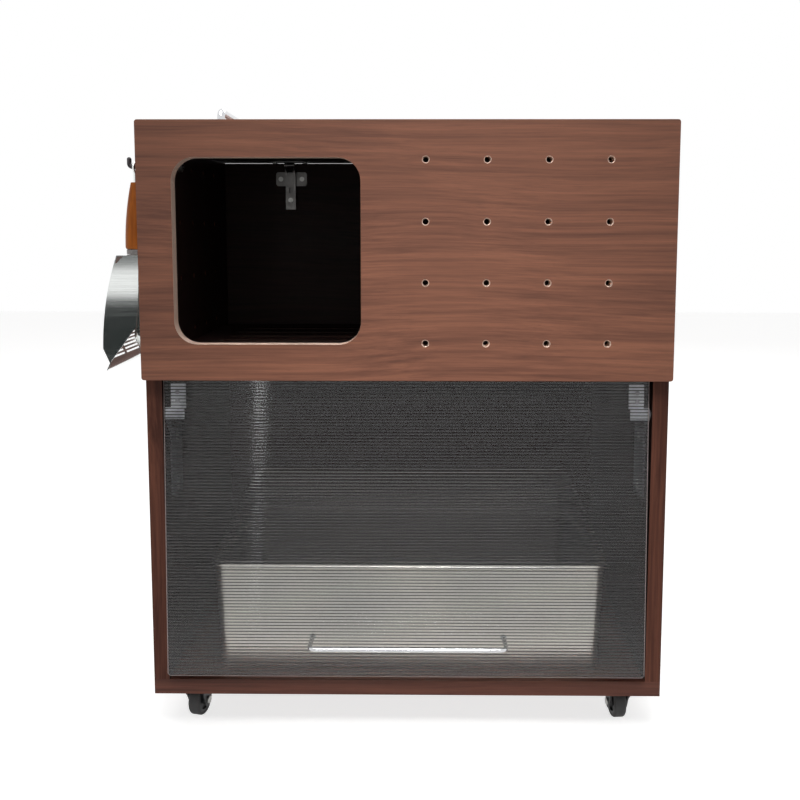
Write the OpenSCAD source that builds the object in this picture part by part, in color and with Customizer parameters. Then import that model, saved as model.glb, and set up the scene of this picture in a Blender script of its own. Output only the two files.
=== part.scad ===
// Cat litter box cabinet on casters: entry and vents in an overlaid fascia, rear-hinged lid on concealed
// cup hinges, ribbed clear flap over the litter pan, and a slotted scoop on a side hook.
// Lengths are in millimetres. X runs to the right, Y to the back, Z up, and the floor is Z = 0.

/* [Cabinet] */
// Overall width of the cabinet
cab_w = 600; // [540:5:720]
// Overall depth, fascia included
cab_d = 430; // [420:5:500]
// Height of the wooden body without its casters
body_h = 670; // [650:5:740]
// Thickness of every board
board_t = 18; // [16:1:20]
// Height of the front fascia
fascia_h = 290; // [284:1:300]
// Depth of the shelf's top below the cabinet's top
shelf_drop = 264; // [258:1:266]
// Rounding of the fascia's corners
fascia_r = 3; // [1:0.5:8]
// Gap between the lid's front edge and the fascia
lid_gap = 1.5; // [1:0.25:3]
// Height of the pads that hold the lid off the sides
pad_h = 1.2; // [1:0.1:2]

/* [Entry and vents] */
// Width of the cat's entry
entry_w = 210; // [180:1:225]
// Height of the cat's entry
entry_h = 208; // [180:1:214]
// Corner radius of the entry
entry_r = 26; // [10:1:60]
// Distance from the cabinet's left edge to the entry
entry_left = 39; // [30:1:50]
// Distance from the cabinet's top down to the entry
entry_top = 41; // [36:1:50]
// Distance between vent holes
vent_pitch = 68; // [50:1:70]
// Number of vent holes in a row and in a column
vent_n = 4; // [2:1:4]
// Diameter of a vent hole
vent_d = 6.5; // [6.5:0.1:9]
// Width and depth of the fascia holes' bevel
vent_bevel = 1; // [0.4:0.1:1.5]
// Distance from the cabinet's right edge to the fascia's last column of vents
vent_right = 75; // [60:1:100]
// Distance from the cabinet's top to the first row of vents
vent_top = 43.5; // [40:0.5:50]

/* [Shelf] */
// Width of a litter slot in the shelf
slot_w = 12; // [8:1:16]
// Distance between litter slots
slot_pitch = 52; // [40:1:52]
// Number of litter slots
slot_n = 6; // [2:1:6]
// Distance from the left side panel to the slots
slot_left = 38; // [30:1:60]
// Distance from the shelf's front edge to the first slot's middle
slot_front = 56; // [40:1:60]
// Width of the board between the slots and the passage
slot_gap = 34; // [20:1:60]
// Width of the passage down to the pan, from its left end to the right side panel
passage_w = 202; // [168:2:208]
// Length of the passage, front to back
passage_len = 300; // [240:5:330]
// Corner radius of the passage's left end
passage_r = 12; // [6:1:18]

/* [Lid hinges] */
// Distance from the cabinet's side to a lid hinge
hinge_inset = 119; // [90:1:140]
// Diameter of the cup let into the lid
cup_d = 35; // [35:0.5:36]
// Depth of the cup in the lid
cup_depth = 11.5; // [11:0.25:13]
// Wall of the cup
cup_wall = 1; // [0.8:0.1:1.2]
// Width of the cup's flange
flange_w = 56; // [52:1:64]
// Diameter of a hinge pin
hinge_pin_d = 3; // [2.5:0.1:3.2]
// Width of the link between arm and cup
link_w = 9.2; // [7:0.2:9.4]
// Width of the arm
arm_w = 15; // [14:0.5:18]
// Length of the arm's channel
arm_len = 55; // [50:1:70]

/* [Lid handle] */
// Distance from the cabinet's left side to the lid handle
lid_handle_inset = 81; // [60:1:150]
// Distance from the front to the handle's near foot
lid_handle_y = 75; // [50:1:90]
// Distance between the handle's feet
lid_handle_cc = 128; // [96:8:192]
// Diameter of the handle's bar
lid_handle_d = 9; // [6:0.5:12]
// Height of the handle above the lid
lid_handle_h = 21.5; // [20:0.5:40]

/* [Flap] */
// Thickness of the clear sheet
sheet_t = 5; // [4:0.5:6]
// Gap left of the sheet
sheet_gap_l = 1; // [1:0.25:3]
// Gap right of the sheet
sheet_gap_r = 3.5; // [1:0.25:4]
// Gap between the sheet and the bottom board
sheet_gap_b = 9; // [3:1:12]
// Corner radius of the sheet
sheet_r = 4; // [1:0.5:8]
// Height of the sheet hidden behind the fascia
sheet_overlap = 4; // [2:0.5:5]
// Drop of the flap's pivot below the fascia
pivot_drop = 43; // [42:0.5:48]
// Distance from the sheet's back to the pivot
pivot_back = 6; // [6:0.25:8]
// Diameter of the flap's pivot pins
pivot_d = 5; // [4:0.25:5]
// Angle at which the flap stands ajar
flap_rest = 2.5; // [0:0.5:4]
// Width of a hinge leaf on the sheet
leaf_w = 17; // [14:1:22]
// Thickness of a hinge leaf
leaf_t = 3; // [2:0.25:3.5]
// Depth of the hinge plate on the side panel
wall_plate_w = 49; // [36:1:60]
// Height of the hinge plate on the side panel
wall_plate_h = 83; // [50:1:90]
// Distance from the sheet's back to that plate
wall_plate_back = 27; // [20:1:32]

/* [Flap handle] */
// Distance between the wire pull's feet
pull_cc = 224; // [160:32:320]
// Diameter of the pull's wire
pull_d = 5; // [4.5:0.5:10]
// How far the pull stands out of the sheet
pull_out = 38; // [28:1:45]
// Height of the pull above the sheet's lower edge
pull_up = 47; // [40:1:120]

/* [Litter pan] */
// Gap between the left side panel and the pan's rim
pan_gap_l = 45; // [30:1:80]
// Gap between the right side panel and the pan's rim
pan_gap_r = 40; // [30:1:80]
// Gap between the back panel and the pan's rim
pan_gap_back = 22.4; // [20.4:0.5:60.4]
// Height of the pan
pan_h = 135; // [100:1:160]
// Slope of the pan's walls, from rim to floor
pan_taper = 7; // [6:1:12]
// Wall of the pan
pan_wall = 1.2; // [1:0.1:2]
// Diameter of the pan's rolled rim
rim_d = 7; // [5:0.5:9]
// Corner radius of the pan at its rim
pan_r = 22; // [22:1:50]
// Gap between the sheet and the pan's rim
pan_front_gap = 16; // [14:1:20]

/* [Casters] */
// Overall height of a caster
caster_h = 50; // [48:1:56]
// Diameter of a wheel
wheel_d = 38; // [34:1:38]
// Width of a wheel's tread
wheel_w = 15; // [13:1:17]
// Distance from the swivel to the axle
caster_trail = 12; // [8:1:14]
// Distance from the board's edges to a swivel
caster_inset = 39; // [38:1:60]
// Side of a caster's square plate
caster_plate = 42; // [40:1:48]
// Diameter of an axle
axle_d = 5; // [4:0.5:6]

/* [Scoop] */
// Diameter of the hook's rod
hook_d = 5.6; // [5:0.1:6]
// Distance from the side panel to the hanging scoop
hook_out = 36; // [34:0.5:44]
// Width of the scoop's blade
blade_w = 136; // [110:2:150]
// Length of the scoop's blade, from its heel to the bend before the lip
blade_len = 110; // [100:1:130]
// Length of the blade's lip
blade_lip = 26; // [10:1:40]
// How far the blade's back leans outwards
blade_lean = 19; // [8:1:24]
// How far the back bows out between its heel and its bend
blade_bow = 4.4; // [2:0.2:8]
// Depth of the blade's heel
blade_depth = 26; // [24:1:32]
// Sheet thickness of the blade
blade_t = 1.2; // [1:0.1:1.5]
// Number of rows of sifting slots
sift_n = 27; // [6:1:27]
// Distance between the rows
sift_pitch = 4.2; // [3.6:0.1:4.2]
// Width of a sifting slot
sift_w = 2; // [1.5:0.25:2.5]
// Length of the wooden handle
grip_len = 82; // [70:1:110]
// Largest diameter of the wooden handle
grip_d = 27.4; // [24:0.2:30]
// Diameter of the wooden handle at its top
grip_top_d = 9.2; // [9:0.2:16]

/* [Hidden] */
$fn = 48;

// Small allowances that many pieces share
over = 1;          // how far a cut runs past a face
run_fit = 0.05;    // radial running clearance of a pin in its bore
seat_gap = 0.3;    // gap between a moving piece and what it rests on

// Heights of the boards
base_z = caster_h;
top_z = base_z + body_h;
fascia_z = top_z - fascia_h;
shelf_z = top_z - shelf_drop;
lid_z = top_z - board_t;
side_z0 = base_z + board_t;
side_z1 = lid_z - pad_h - seat_gap;
side_h = side_z1 - side_z0;
half_w = cab_w / 2;
inner_half = half_w - board_t;
side_d = cab_d - board_t;
back_y = cab_d - board_t;
edge_x = half_w - board_t / 2;

// Carcass screws, their caps and the fascia's dowels
screw_d = 5;
screw_len = 50;
screw_head_d = 10;
screw_head_h = 3;
screw_sink = 1;
cap_d = 13;
cap_h = 1;
dowel_d = 8;
dowel_in_fascia = 12;
dowel_in_side = 24;
screw_inset = 26;
back_row_low = 82;
back_row_mid = 250;
back_row_top = 120;
screw_rows = [board_t + screw_inset, board_t + side_d / 2, back_y - screw_inset];
back_rows = [side_z0 + back_row_low, side_z0 + back_row_mid, shelf_z + back_row_top];
dowel_rows = [shelf_z + 20, (shelf_z + top_z) / 2, lid_z - 22];

// Vent grids
vent_span = vent_pitch * (vent_n - 1);
vent_x0 = half_w - vent_right - vent_span;
vent_z0 = top_z - vent_top;
vent_y0 = board_t + (side_d - vent_span) / 2;

// Passage in the shelf: a notch against the right side panel
passage_x0 = inner_half - passage_w;
passage_y0 = board_t + (side_d - board_t - passage_len) / 2;
slot_x0 = -inner_half + slot_left;
slot_y0 = board_t + slot_front;
slot_len = passage_x0 - slot_gap - slot_x0;

// Concealed lid hinges: the arm's pin and the cup's pin, measured from the back panel's face and the lid
arm_pin_y = back_y - 22;
arm_pin_z = lid_z - 5.5;
cup_y = back_y - 6;
cup_pin_off = 12.5;
cup_pin_y = cup_y + cup_pin_off;
cup_pin_z = lid_z + 4;
link_bend_y = cup_pin_y - 16.5;
link_bend_z = cup_pin_z + 0.5;
link_t = 2.5;
link_eye_r = 2.8;
arm_eye_r = 3.8;
arm_sheet = 2.5;
arm_web_y = back_y - 14;
arm_top_z = lid_z - 16;
arm_z0 = arm_top_z - arm_len;
plate_boss_w = 9.6;
plate_boss_t = 6;
plate_wing_w = 47;
plate_wing_h = 21;
plate_wing_t = 2.5;
plate_z = lid_z - 25;
plate_screw_cc = 32;
flange_t = 1;
flange_y0 = cup_y - 18;
flange_y1 = cup_y + 2;
flange_screw_cc = 45;
flange_screw_y = cup_y - 9.5;
small_screw_d = 3.5;
small_head_d = 7;
small_head_h = 1.6;
small_screw_len = 13;
cup_screw_len = 12;
cup_fit = 0.1;
cup_notch_h = 2.6;
arm_screw_up = 14;
arm_slot_up = 24;
hinge_x = half_w - hinge_inset;

// A cup's pin ends just inside the cup's round wall
cup_pin_out = cup_pin_off + hinge_pin_d / 2;
cup_pin_half = sqrt(cup_d * cup_d / 4 - cup_pin_out * cup_pin_out) - 0.1;

// Lid and its bow handle
lid_y0 = board_t + lid_gap;
lid_handle_x = half_w - lid_handle_inset;
handle_screw_d = 4;
handle_screw_head_d = 8;
handle_screw_head_h = 2;
handle_screw_bite = 10;
bow_bend = 8;

// Flap
sheet_y = board_t + 0.6;
sheet_x0 = -inner_half + sheet_gap_l;
sheet_x1 = inner_half - sheet_gap_r;
sheet_z0 = side_z0 + sheet_gap_b;
sheet_z1 = fascia_z + sheet_overlap;
pivot_y = sheet_y + sheet_t + pivot_back;
pivot_z = fascia_z - pivot_drop;
wall_plate_t = 2;
leaf_out = inner_half - 9;
leaf_z0 = pivot_z + 8;
leaf_z1 = fascia_z - 7;
tab_h = 14;
tab_x0 = inner_half - 24;
tab_x1 = inner_half - wall_plate_t - seat_gap;
knuckle_x0 = inner_half - 20;
wall_plate_y = sheet_y + sheet_t + wall_plate_back;
wall_plate_z1 = pivot_z - 23;
wall_screw_inset = 12;
neck_w = 10;
leaf_screw_rows = [leaf_z0 + 8, leaf_z0 + 18];
leaf_screw_d = 3;
leaf_screw_head_d = 5;
leaf_screw_head_h = 1.2;

// Wire pull
pull_z = sheet_z0 + pull_up;
pull_x = (sheet_x0 + sheet_x1) / 2 + 3;
pull_y = sheet_y - pull_out + pull_d / 2;
pull_front = pivot_y + (pull_y - pivot_y) * cos(flap_rest) + (pull_z - pivot_z) * sin(flap_rest) - pull_d / 2;
pull_bend = 8;
pull_screw_d = 3;
pull_screw_head_d = 7;

// Litter pan
pan_x = (pan_gap_l - pan_gap_r) / 2;
pan_w = 2 * inner_half - pan_gap_l - pan_gap_r;
pan_y0 = sheet_y + sheet_t + pan_front_gap;
pan_d = back_y - pan_gap_back - pan_y0;
pan_z0 = side_z0 + seat_gap;
pan_rim_z = pan_z0 + pan_h - rim_d / 2;
rim_wire = rim_d / 2;

// Casters
axle_z = wheel_d / 2;
plate_t = 2.5;
race_d = 32;
race_h = 2;
fork_top_z = base_z - plate_t - race_h - 0.4;
fork_t = 2;
fork_top_d = 32;
fork_gap = wheel_w + 4;
fork_leg_r = 8;
fork_shoulder = 14.5;
flare_z0 = axle_z + fork_leg_r;
flare_z1 = flare_z0 + 9;
king_d = 6;
king_head_d = 12;
king_head_h = 1.5;
tyre_t = 4;
hub_d = 12;
axle_head_d = 9;
axle_head_h = 2;
caster_hole_cc = 30;
caster_screw_d = 4;
caster_x = half_w - caster_inset;
caster_y0 = board_t + caster_inset;
caster_y1 = cab_d - caster_inset;
turn_fl = -14;
turn_fr = 6;
turn_rl = 15;
turn_rr = -8;

// Hook and scoop, which hangs from the top vent hole nearest the front
hook_y = vent_y0;
hook_z = vent_z0;
hook_tip = 9;
hook_bend = 4;
hook_past = 6.5;
hook_flange_d = 15;
hook_flange_t = 2;
nut_d = 13;
nut_t = 5;
eye_wire = 3;
eye_r = 5.5;
eye_gap = 0.3;
eye_drop = eye_r - eye_wire / 2 - hook_d / 2 - eye_gap;
rod_d = 5;
rivet_d = 9;
rivet_h = 1.6;
grip_top = 19;
ferrule_d = 25;
ferrule_h = 6;
heel_v = grip_top + grip_len + ferrule_h;
blade_x0 = -5;
bend_x = blade_x0 - blade_lean;
bend_v = heel_v + blade_len;
toe_x = bend_x + 7.5;
toe_v = bend_v + 2 * blade_lip / 3;
lip_x = toe_x - 4;
lip_v = bend_v + blade_lip;
wall_notch = 9;

// The back's bow: an arc through the heel and the bend, centred on the cabinet's side
bow_half = norm([blade_lean, blade_len]) / 2;
bow_r = (bow_half * bow_half + blade_bow * blade_bow) / (2 * blade_bow);
bow_x = blade_x0 - blade_lean / 2 + (bow_r - blade_bow) * blade_len / (2 * bow_half);
bow_v = heel_v + blade_len / 2 + (bow_r - blade_bow) * blade_lean / (2 * bow_half);
sift_edge = 9;
sift_rib = 6;
sift_top = 12;

// The frame: the origin is under the middle of the whole object's box
scoop_reach = hook_out - bend_x;
frame_x = (scoop_reach - cap_h) / 2;
frame_y = -(cab_d + pull_front) / 2;

module in_frame() {
    translate([frame_x, frame_y, 0]) children();
}

// Turns a shape that points along +Z to point along the named direction
module aim(direction) {
    rotate(direction == "right" ? [0, 90, 0]
        : direction == "left" ? [0, -90, 0]
        : direction == "back" ? [-90, 0, 0]
        : direction == "front" ? [90, 0, 0]
        : direction == "down" ? [180, 0, 0]
        : [0, 0, 0]) children();
}

// A screw or its hole: the head's top is at the origin and the shank runs along +Z
module screw(shank_d, head_d, head_h, len, fit = 0) {
    cylinder(d = head_d + 2 * fit, h = head_h);
    translate([0, 0, head_h / 2])
        cylinder(d = shank_d + 2 * fit, h = len - head_h / 2);
}

// A hole with the screw's shape, open above the head
module screw_hole(shank_d, head_d, head_h, len) {
    screw(shank_d, head_d, head_h, len, run_fit);
    translate([0, 0, -over - screw_sink])
        cylinder(d = head_d + 2 * run_fit, h = over + screw_sink + head_h / 2);
}

// A flat rectangle with round corners, by exact shapes only
module round_rect(w, h, r) {
    translate([r, 0]) square([w - 2 * r, h]);
    translate([0, r]) square([w, h - 2 * r]);
    for (x = [r, w - r], y = [r, h - r])
        translate([x, y]) circle(r = r);
}

// A straight bar between two points of the Y-Z plane, drawn as a flat outline
module strip(a, b, w) {
    d = b - a;
    translate(a) rotate(atan2(d[1], d[0])) translate([0, -w / 2]) square([norm(d), w]);
}

// Extrudes an outline given in (Y, Z) along X, from x0 to x1
module along_x(x0, x1) {
    translate([x0, 0, 0]) rotate([90, 0, 90]) linear_extrude(x1 - x0) children();
}

// A bow of round bar: feet at X = 0 and X = cc, rising along +Z to its outer height
module bow(cc, d, h, bend) {
    rise = h - d / 2 - bend;
    for (x = [0, cc]) translate([x, 0, 0]) cylinder(d = d, h = rise);
    translate([bend, 0, rise]) rotate([90, 0, 180])
        rotate_extrude(angle = 90) translate([bend, 0]) circle(d = d);
    translate([cc - bend, 0, rise]) rotate([90, 0, 0])
        rotate_extrude(angle = 90) translate([bend, 0]) circle(d = d);
    translate([bend, 0, rise + bend]) aim("right") cylinder(d = d, h = cc - 2 * bend);
}

// Carcass screws, as [x, y, z, direction]; the passage leaves no shelf for a middle screw on the right
function side_screws() = [
    for (y = screw_rows) [-half_w, y, shelf_z - board_t / 2, "right"],
    for (y = [screw_rows[0], screw_rows[2]]) [half_w, y, shelf_z - board_t / 2, "left"],
    for (s = [-1, 1], z = back_rows)
        [s * half_w, back_y + board_t / 2, z, s > 0 ? "left" : "right"]
];
function base_screws() = [
    for (s = [-1, 1], y = screw_rows) [s * edge_x, y, base_z, "up"],
    for (x = [-half_w / 2, 0, half_w / 2]) [x, back_y + board_t / 2, base_z, "up"]
];

module at_screw(p) {
    translate([p[0], p[1], p[2]]) aim(p[3]) translate([0, 0, screw_sink]) children();
}

module carcass_holes() {
    for (p = concat(side_screws(), base_screws()))
        at_screw(p) screw_hole(screw_d, screw_head_d, screw_head_h, screw_len);
}

module at_dowels() {
    for (s = [-1, 1], z = dowel_rows)
        translate([s * edge_x, board_t - dowel_in_fascia, z]) aim("back") children();
}

module dowel_holes() {
    at_dowels() cylinder(d = dowel_d + 2 * run_fit, h = dowel_in_fascia + dowel_in_side);
}

module at_plate_screws() {
    for (s = [-1, 1], t = [-1, 1])
        translate([s * hinge_x + t * plate_screw_cc / 2, back_y - plate_wing_t - small_head_h, plate_z])
            aim("back") children();
}

module small_screw() {
    screw(small_screw_d, small_head_d, small_head_h, small_screw_len);
}

module small_pilot() {
    cylinder(d = small_screw_d + 2 * run_fit, h = small_screw_len);
}

module at_wall_screws() {
    for (s = [-1, 1], dz = [wall_screw_inset, wall_plate_h - wall_screw_inset])
        translate([s * (inner_half - wall_plate_t - small_head_h), wall_plate_y + wall_plate_w / 2,
            wall_plate_z1 - dz]) aim(s > 0 ? "right" : "left") children();
}

module at_casters() {
    for (c = [[-caster_x, caster_y0], [caster_x, caster_y0], [-caster_x, caster_y1], [caster_x, caster_y1]])
        translate([c[0], c[1], 0]) children();
}

module at_caster_screws() {
    at_casters()
        for (x = [-1, 1], y = [-1, 1])
            translate([x * caster_hole_cc / 2, y * caster_hole_cc / 2, base_z - plate_t - small_head_h])
                children();
}

// One side panel, drawn on the right
module side_board() {
    difference() {
        translate([inner_half, board_t, side_z0]) cube([board_t, side_d, side_h]);
        for (i = [0:vent_n - 1], j = [0:vent_n - 1])
            translate([inner_half - over, vent_y0 + i * vent_pitch, vent_z0 - j * vent_pitch])
                aim("right") cylinder(d = vent_d, h = board_t + 2 * over);
        dowel_holes();
        at_wall_screws() small_pilot();
    }
}

module left_side_panel() {
    color("#6e4434") difference() {
        mirror([1, 0, 0]) side_board();
        carcass_holes();
    }
}

module right_side_panel() {
    color("#6e4434") difference() {
        side_board();
        carcass_holes();
    }
}

module bottom_board() {
    color("#6e4434") difference() {
        translate([-half_w, board_t, base_z]) cube([cab_w, side_d, board_t]);
        carcass_holes();
        at_caster_screws() small_pilot();
    }
}

module back_panel() {
    color("#6e4434") difference() {
        translate([-inner_half, back_y, side_z0]) cube([2 * inner_half, board_t, side_h]);
        carcass_holes();
        at_plate_screws() small_pilot();
    }
}

module shelf() {
    color("#6e4434") difference() {
        translate([-inner_half, board_t, shelf_z - board_t])
            cube([2 * inner_half, side_d - board_t, board_t]);
        for (i = [0:slot_n - 1])
            translate([slot_x0, slot_y0 + i * slot_pitch - slot_w / 2, shelf_z - board_t - over])
                linear_extrude(board_t + 2 * over) round_rect(slot_len, slot_w, slot_w / 2 - 0.01);
        translate([passage_x0, passage_y0, shelf_z - board_t - over])
            linear_extrude(board_t + 2 * over) round_rect(passage_w + 2 * passage_r, passage_len, passage_r);
        carcass_holes();
    }
}

module front_fascia() {
    color("#8a5744") difference() {
        translate([-half_w, board_t, fascia_z]) rotate([90, 0, 0])
            linear_extrude(board_t) round_rect(cab_w, fascia_h, fascia_r);
        translate([-half_w + entry_left, board_t + over, top_z - entry_top - entry_h]) rotate([90, 0, 0])
            linear_extrude(board_t + 2 * over) round_rect(entry_w, entry_h, entry_r);
        for (i = [0:vent_n - 1], j = [0:vent_n - 1])
            translate([vent_x0 + i * vent_pitch, 0, vent_z0 - j * vent_pitch]) aim("back") {
                translate([0, 0, -over]) cylinder(d = vent_d, h = board_t + 2 * over);
                translate([0, 0, -over]) cylinder(d1 = vent_d + 2 * (vent_bevel + over), d2 = vent_d,
                    h = vent_bevel + over);
            }
        dowel_holes();
    }
}

module fascia_dowels() {
    color("burlywood") at_dowels() cylinder(d = dowel_d, h = dowel_in_fascia + dowel_in_side - over);
}

module carcass_screws() {
    color("silver")
        for (p = concat(side_screws(), base_screws()))
            at_screw(p) screw(screw_d, screw_head_d, screw_head_h, screw_len - over);
}

// Caps over the side screws: a disc with a short stud in the screw's recess
module screw_caps() {
    color("#5f3a2c")
        for (p = side_screws()) translate([p[0], p[1], p[2]]) aim(p[3]) {
            translate([0, 0, -cap_h]) cylinder(d = cap_d, h = cap_h);
            cylinder(d = screw_head_d, h = screw_sink);
        }
}

// Pads on the sides' top edges, just under the closed lid
module lid_bumpers() {
    color("whitesmoke")
        for (s = [-1, 1])
            translate([s * edge_x, lid_y0 + 24, side_z1]) cylinder(d = 10, h = pad_h);
}

// Winged mounting plates of the lid hinges, on the back panel
module hinge_plates() {
    color("silver") difference() {
        for (s = [-1, 1]) translate([s * hinge_x, 0, 0]) {
            translate([-plate_wing_w / 2, back_y, plate_z - plate_wing_h / 2]) rotate([90, 0, 0])
                linear_extrude(plate_wing_t) round_rect(plate_wing_w, plate_wing_h, 4);
            translate([-plate_boss_w / 2, back_y - plate_boss_t, arm_z0 + 4])
                cube([plate_boss_w, plate_boss_t, arm_top_z - arm_z0 - 8]);
        }
        at_plate_screws() screw_hole(small_screw_d, small_head_d, small_head_h, small_screw_len);
        at_arm_screws() cylinder(d = hinge_pin_d + 2 * run_fit, h = small_screw_len);
    }
}

module hinge_plate_screws() {
    color("gainsboro") at_plate_screws() small_screw();
}

module at_arm_screws() {
    for (s = [-1, 1])
        translate([s * hinge_x, arm_web_y - small_head_h, arm_z0 + arm_screw_up]) aim("back") children();
}

// Hinge arms: a folded channel over the plate, with two cheeks that hold the pin
module hinge_arms() {
    pin = [arm_pin_y, arm_pin_z];
    color("silver") difference() {
        for (s = [-1, 1]) translate([s * hinge_x, 0, 0]) {
            translate([-arm_w / 2, arm_web_y, arm_z0]) cube([arm_w, 1.5, arm_len]);
            for (t = [0, 1]) mirror([t, 0, 0]) along_x(arm_w / 2 - arm_sheet, arm_w / 2) {
                translate([arm_web_y, arm_z0]) square([8, arm_len]);
                strip([arm_web_y + 4, arm_top_z - 5], pin, 2 * arm_eye_r - 0.8);
                translate(pin) circle(r = arm_eye_r);
            }
        }
        for (s = [-1, 1]) translate([s * hinge_x, arm_web_y - over, arm_z0 + arm_slot_up]) {
            rotate([-90, 0, 0]) translate([-2.5, -9, 0]) linear_extrude(1.5 + 2 * over) round_rect(5, 9, 2);
        }
        at_arm_screws() cylinder(d = hinge_pin_d + 4 * run_fit, h = small_screw_len);
        at_arm_pins() cylinder(d = hinge_pin_d, h = arm_w + 2 * over);
    }
}

module hinge_arm_screws() {
    color("gainsboro") at_arm_screws()
        screw(hinge_pin_d, small_head_d, small_head_h, small_head_h + 1.5 + plate_boss_t + 2);
}

module at_arm_pins() {
    for (s = [-1, 1])
        translate([s * hinge_x - arm_w / 2 - over, arm_pin_y, arm_pin_z]) aim("right") children();
}

module hinge_arm_pins() {
    color("gainsboro") at_arm_pins() translate([0, 0, over]) cylinder(d = hinge_pin_d, h = arm_w);
}

// Links from the arms' pins up into the cups, bent to clear the lid's edge when it is open
module hinge_links() {
    a = [arm_pin_y, arm_pin_z];
    bend = [link_bend_y, link_bend_z];
    b = [cup_pin_y, cup_pin_z];
    bore = hinge_pin_d / 2 + run_fit;
    color("gainsboro")
        for (s = [-1, 1]) translate([s * hinge_x, 0, 0])
            along_x(-link_w / 2, link_w / 2) difference() {
                union() {
                    strip(a, bend, link_t);
                    strip(bend, b, link_t);
                    translate(bend) circle(d = link_t);
                    translate(a) circle(r = link_eye_r);
                    translate(b) circle(r = link_eye_r);
                }
                translate(a) circle(r = bore);
                translate(b) circle(r = bore);
            }
}

module at_cups() {
    for (s = [-1, 1]) translate([s * hinge_x, cup_y, lid_z]) children();
}

module at_cup_screws() {
    for (s = [-1, 1], t = [-1, 1])
        translate([s * hinge_x + t * flange_screw_cc / 2, flange_screw_y, lid_z - flange_t - small_head_h])
            children();
}

module at_cup_pins() {
    for (s = [-1, 1])
        translate([s * hinge_x - cup_pin_half, cup_pin_y, cup_pin_z]) aim("right") children();
}

module at_lid_handle() {
    translate([-lid_handle_x, lid_handle_y, top_z]) rotate([0, 0, 90]) children();
}

module lid() {
    color("#8a5744") difference() {
        translate([-half_w, lid_y0, lid_z]) cube([cab_w, cab_d - lid_y0, board_t]);
        at_cups() translate([0, 0, -over])
            cylinder(d = cup_d + 2 * cup_fit, h = cup_depth + cup_fit + over);
        at_cup_screws() translate([0, 0, small_head_h]) cylinder(d = small_screw_d + 2 * run_fit, h = 11);
        at_lid_handle() for (x = [0, lid_handle_cc])
            translate([x, 0, -board_t - over]) cylinder(d = handle_screw_d + 1, h = board_t + 2 * over);
    }
}

// Cups with their flanges, notched at the back where the open link comes through
module hinge_cups() {
    inner_r = cup_d / 2 - cup_wall;
    color("silver") difference() {
        union() {
            at_cups() cylinder(d = cup_d, h = cup_depth);
            at_cups() translate([-flange_w / 2, flange_y0 - cup_y, -flange_t])
                linear_extrude(flange_t) round_rect(flange_w, flange_y1 - flange_y0, 6);
        }
        at_cups() translate([0, 0, -flange_t - over])
            cylinder(r = inner_r, h = cup_depth - cup_wall + flange_t + over);
        at_cups() translate([-link_w / 2 - seat_gap, cup_pin_off - hinge_pin_d, -over])
            cube([link_w + 2 * seat_gap, cup_d, cup_notch_h + over]);
        at_cup_screws() screw_hole(small_screw_d, small_head_d, small_head_h, small_screw_len);
        at_cup_pins() cylinder(d = hinge_pin_d, h = 2 * cup_pin_half);
    }
}

module hinge_cup_pins() {
    color("gainsboro") at_cup_pins() cylinder(d = hinge_pin_d, h = 2 * cup_pin_half);
}

module hinge_cup_screws() {
    color("gainsboro") at_cup_screws() screw(small_screw_d, small_head_d, small_head_h, cup_screw_len);
}

module lid_handle() {
    color("silver") difference() {
        at_lid_handle() bow(lid_handle_cc, lid_handle_d, lid_handle_h, bow_bend);
        at_lid_handle() for (x = [0, lid_handle_cc])
            translate([x, 0, -over]) cylinder(d = handle_screw_d + 2 * run_fit, h = handle_screw_bite + over);
    }
}

module lid_handle_screws() {
    color("gainsboro") at_lid_handle() for (x = [0, lid_handle_cc])
        translate([x, 0, -board_t - handle_screw_head_h])
            screw(handle_screw_d, handle_screw_head_d, handle_screw_head_h,
                board_t + handle_screw_head_h + handle_screw_bite - over);
}

// Plates on the side panels that carry the flap's pivots
module flap_wall_plates() {
    color("silver") difference() {
        for (t = [0, 1]) mirror([t, 0, 0]) along_x(inner_half - wall_plate_t, inner_half) {
            translate([pivot_y, pivot_z]) circle(d = neck_w);
            strip([pivot_y, pivot_z], [wall_plate_y + neck_w, wall_plate_z1 - neck_w], neck_w - 0.8);
            translate([wall_plate_y, wall_plate_z1 - wall_plate_h])
                round_rect(wall_plate_w, wall_plate_h, 3);
        }
        at_pivots() cylinder(d = pivot_d, h = 30);
        at_wall_screws() screw_hole(small_screw_d, small_head_d, small_head_h, small_screw_len);
    }
}

module flap_plate_screws() {
    color("gainsboro") at_wall_screws() small_screw();
}

// The pivots point inwards from the side panels
module at_pivots() {
    for (s = [-1, 1])
        translate([s * inner_half, pivot_y, pivot_z]) aim(s > 0 ? "left" : "right") children();
}

module flap_pivot_pins() {
    color("gainsboro") at_pivots() cylinder(d = pivot_d, h = inner_half - knuckle_x0);
}

// Turns the flap about its pivots from shut to ajar
module ajar() {
    translate([0, pivot_y, pivot_z]) rotate([-flap_rest, 0, 0]) translate([0, -pivot_y, -pivot_z]) children();
}

module at_leaf_screws() {
    for (s = [-1, 1], z = leaf_screw_rows)
        translate([s * (leaf_out - leaf_w / 2), sheet_y - leaf_screw_head_h, z]) aim("back") children();
}

module at_pull() {
    translate([pull_x - pull_cc / 2, sheet_y, pull_z]) rotate([90, 0, 0]) children();
}

module flap_sheet() {
    color("#aeb4b4", 0.5) difference() {
        translate([sheet_x0, sheet_y + sheet_t, sheet_z0]) rotate([90, 0, 0])
            linear_extrude(sheet_t) round_rect(sheet_x1 - sheet_x0, sheet_z1 - sheet_z0, sheet_r);
        at_leaf_screws() cylinder(d = leaf_screw_d + 2 * run_fit, h = leaf_screw_head_h + sheet_t + over);
        at_pull() for (x = [0, pull_cc])
            translate([x, 0, -sheet_t - over]) cylinder(d = pull_screw_d + 2 * run_fit, h = sheet_t + 2 * over);
    }
}

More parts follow.
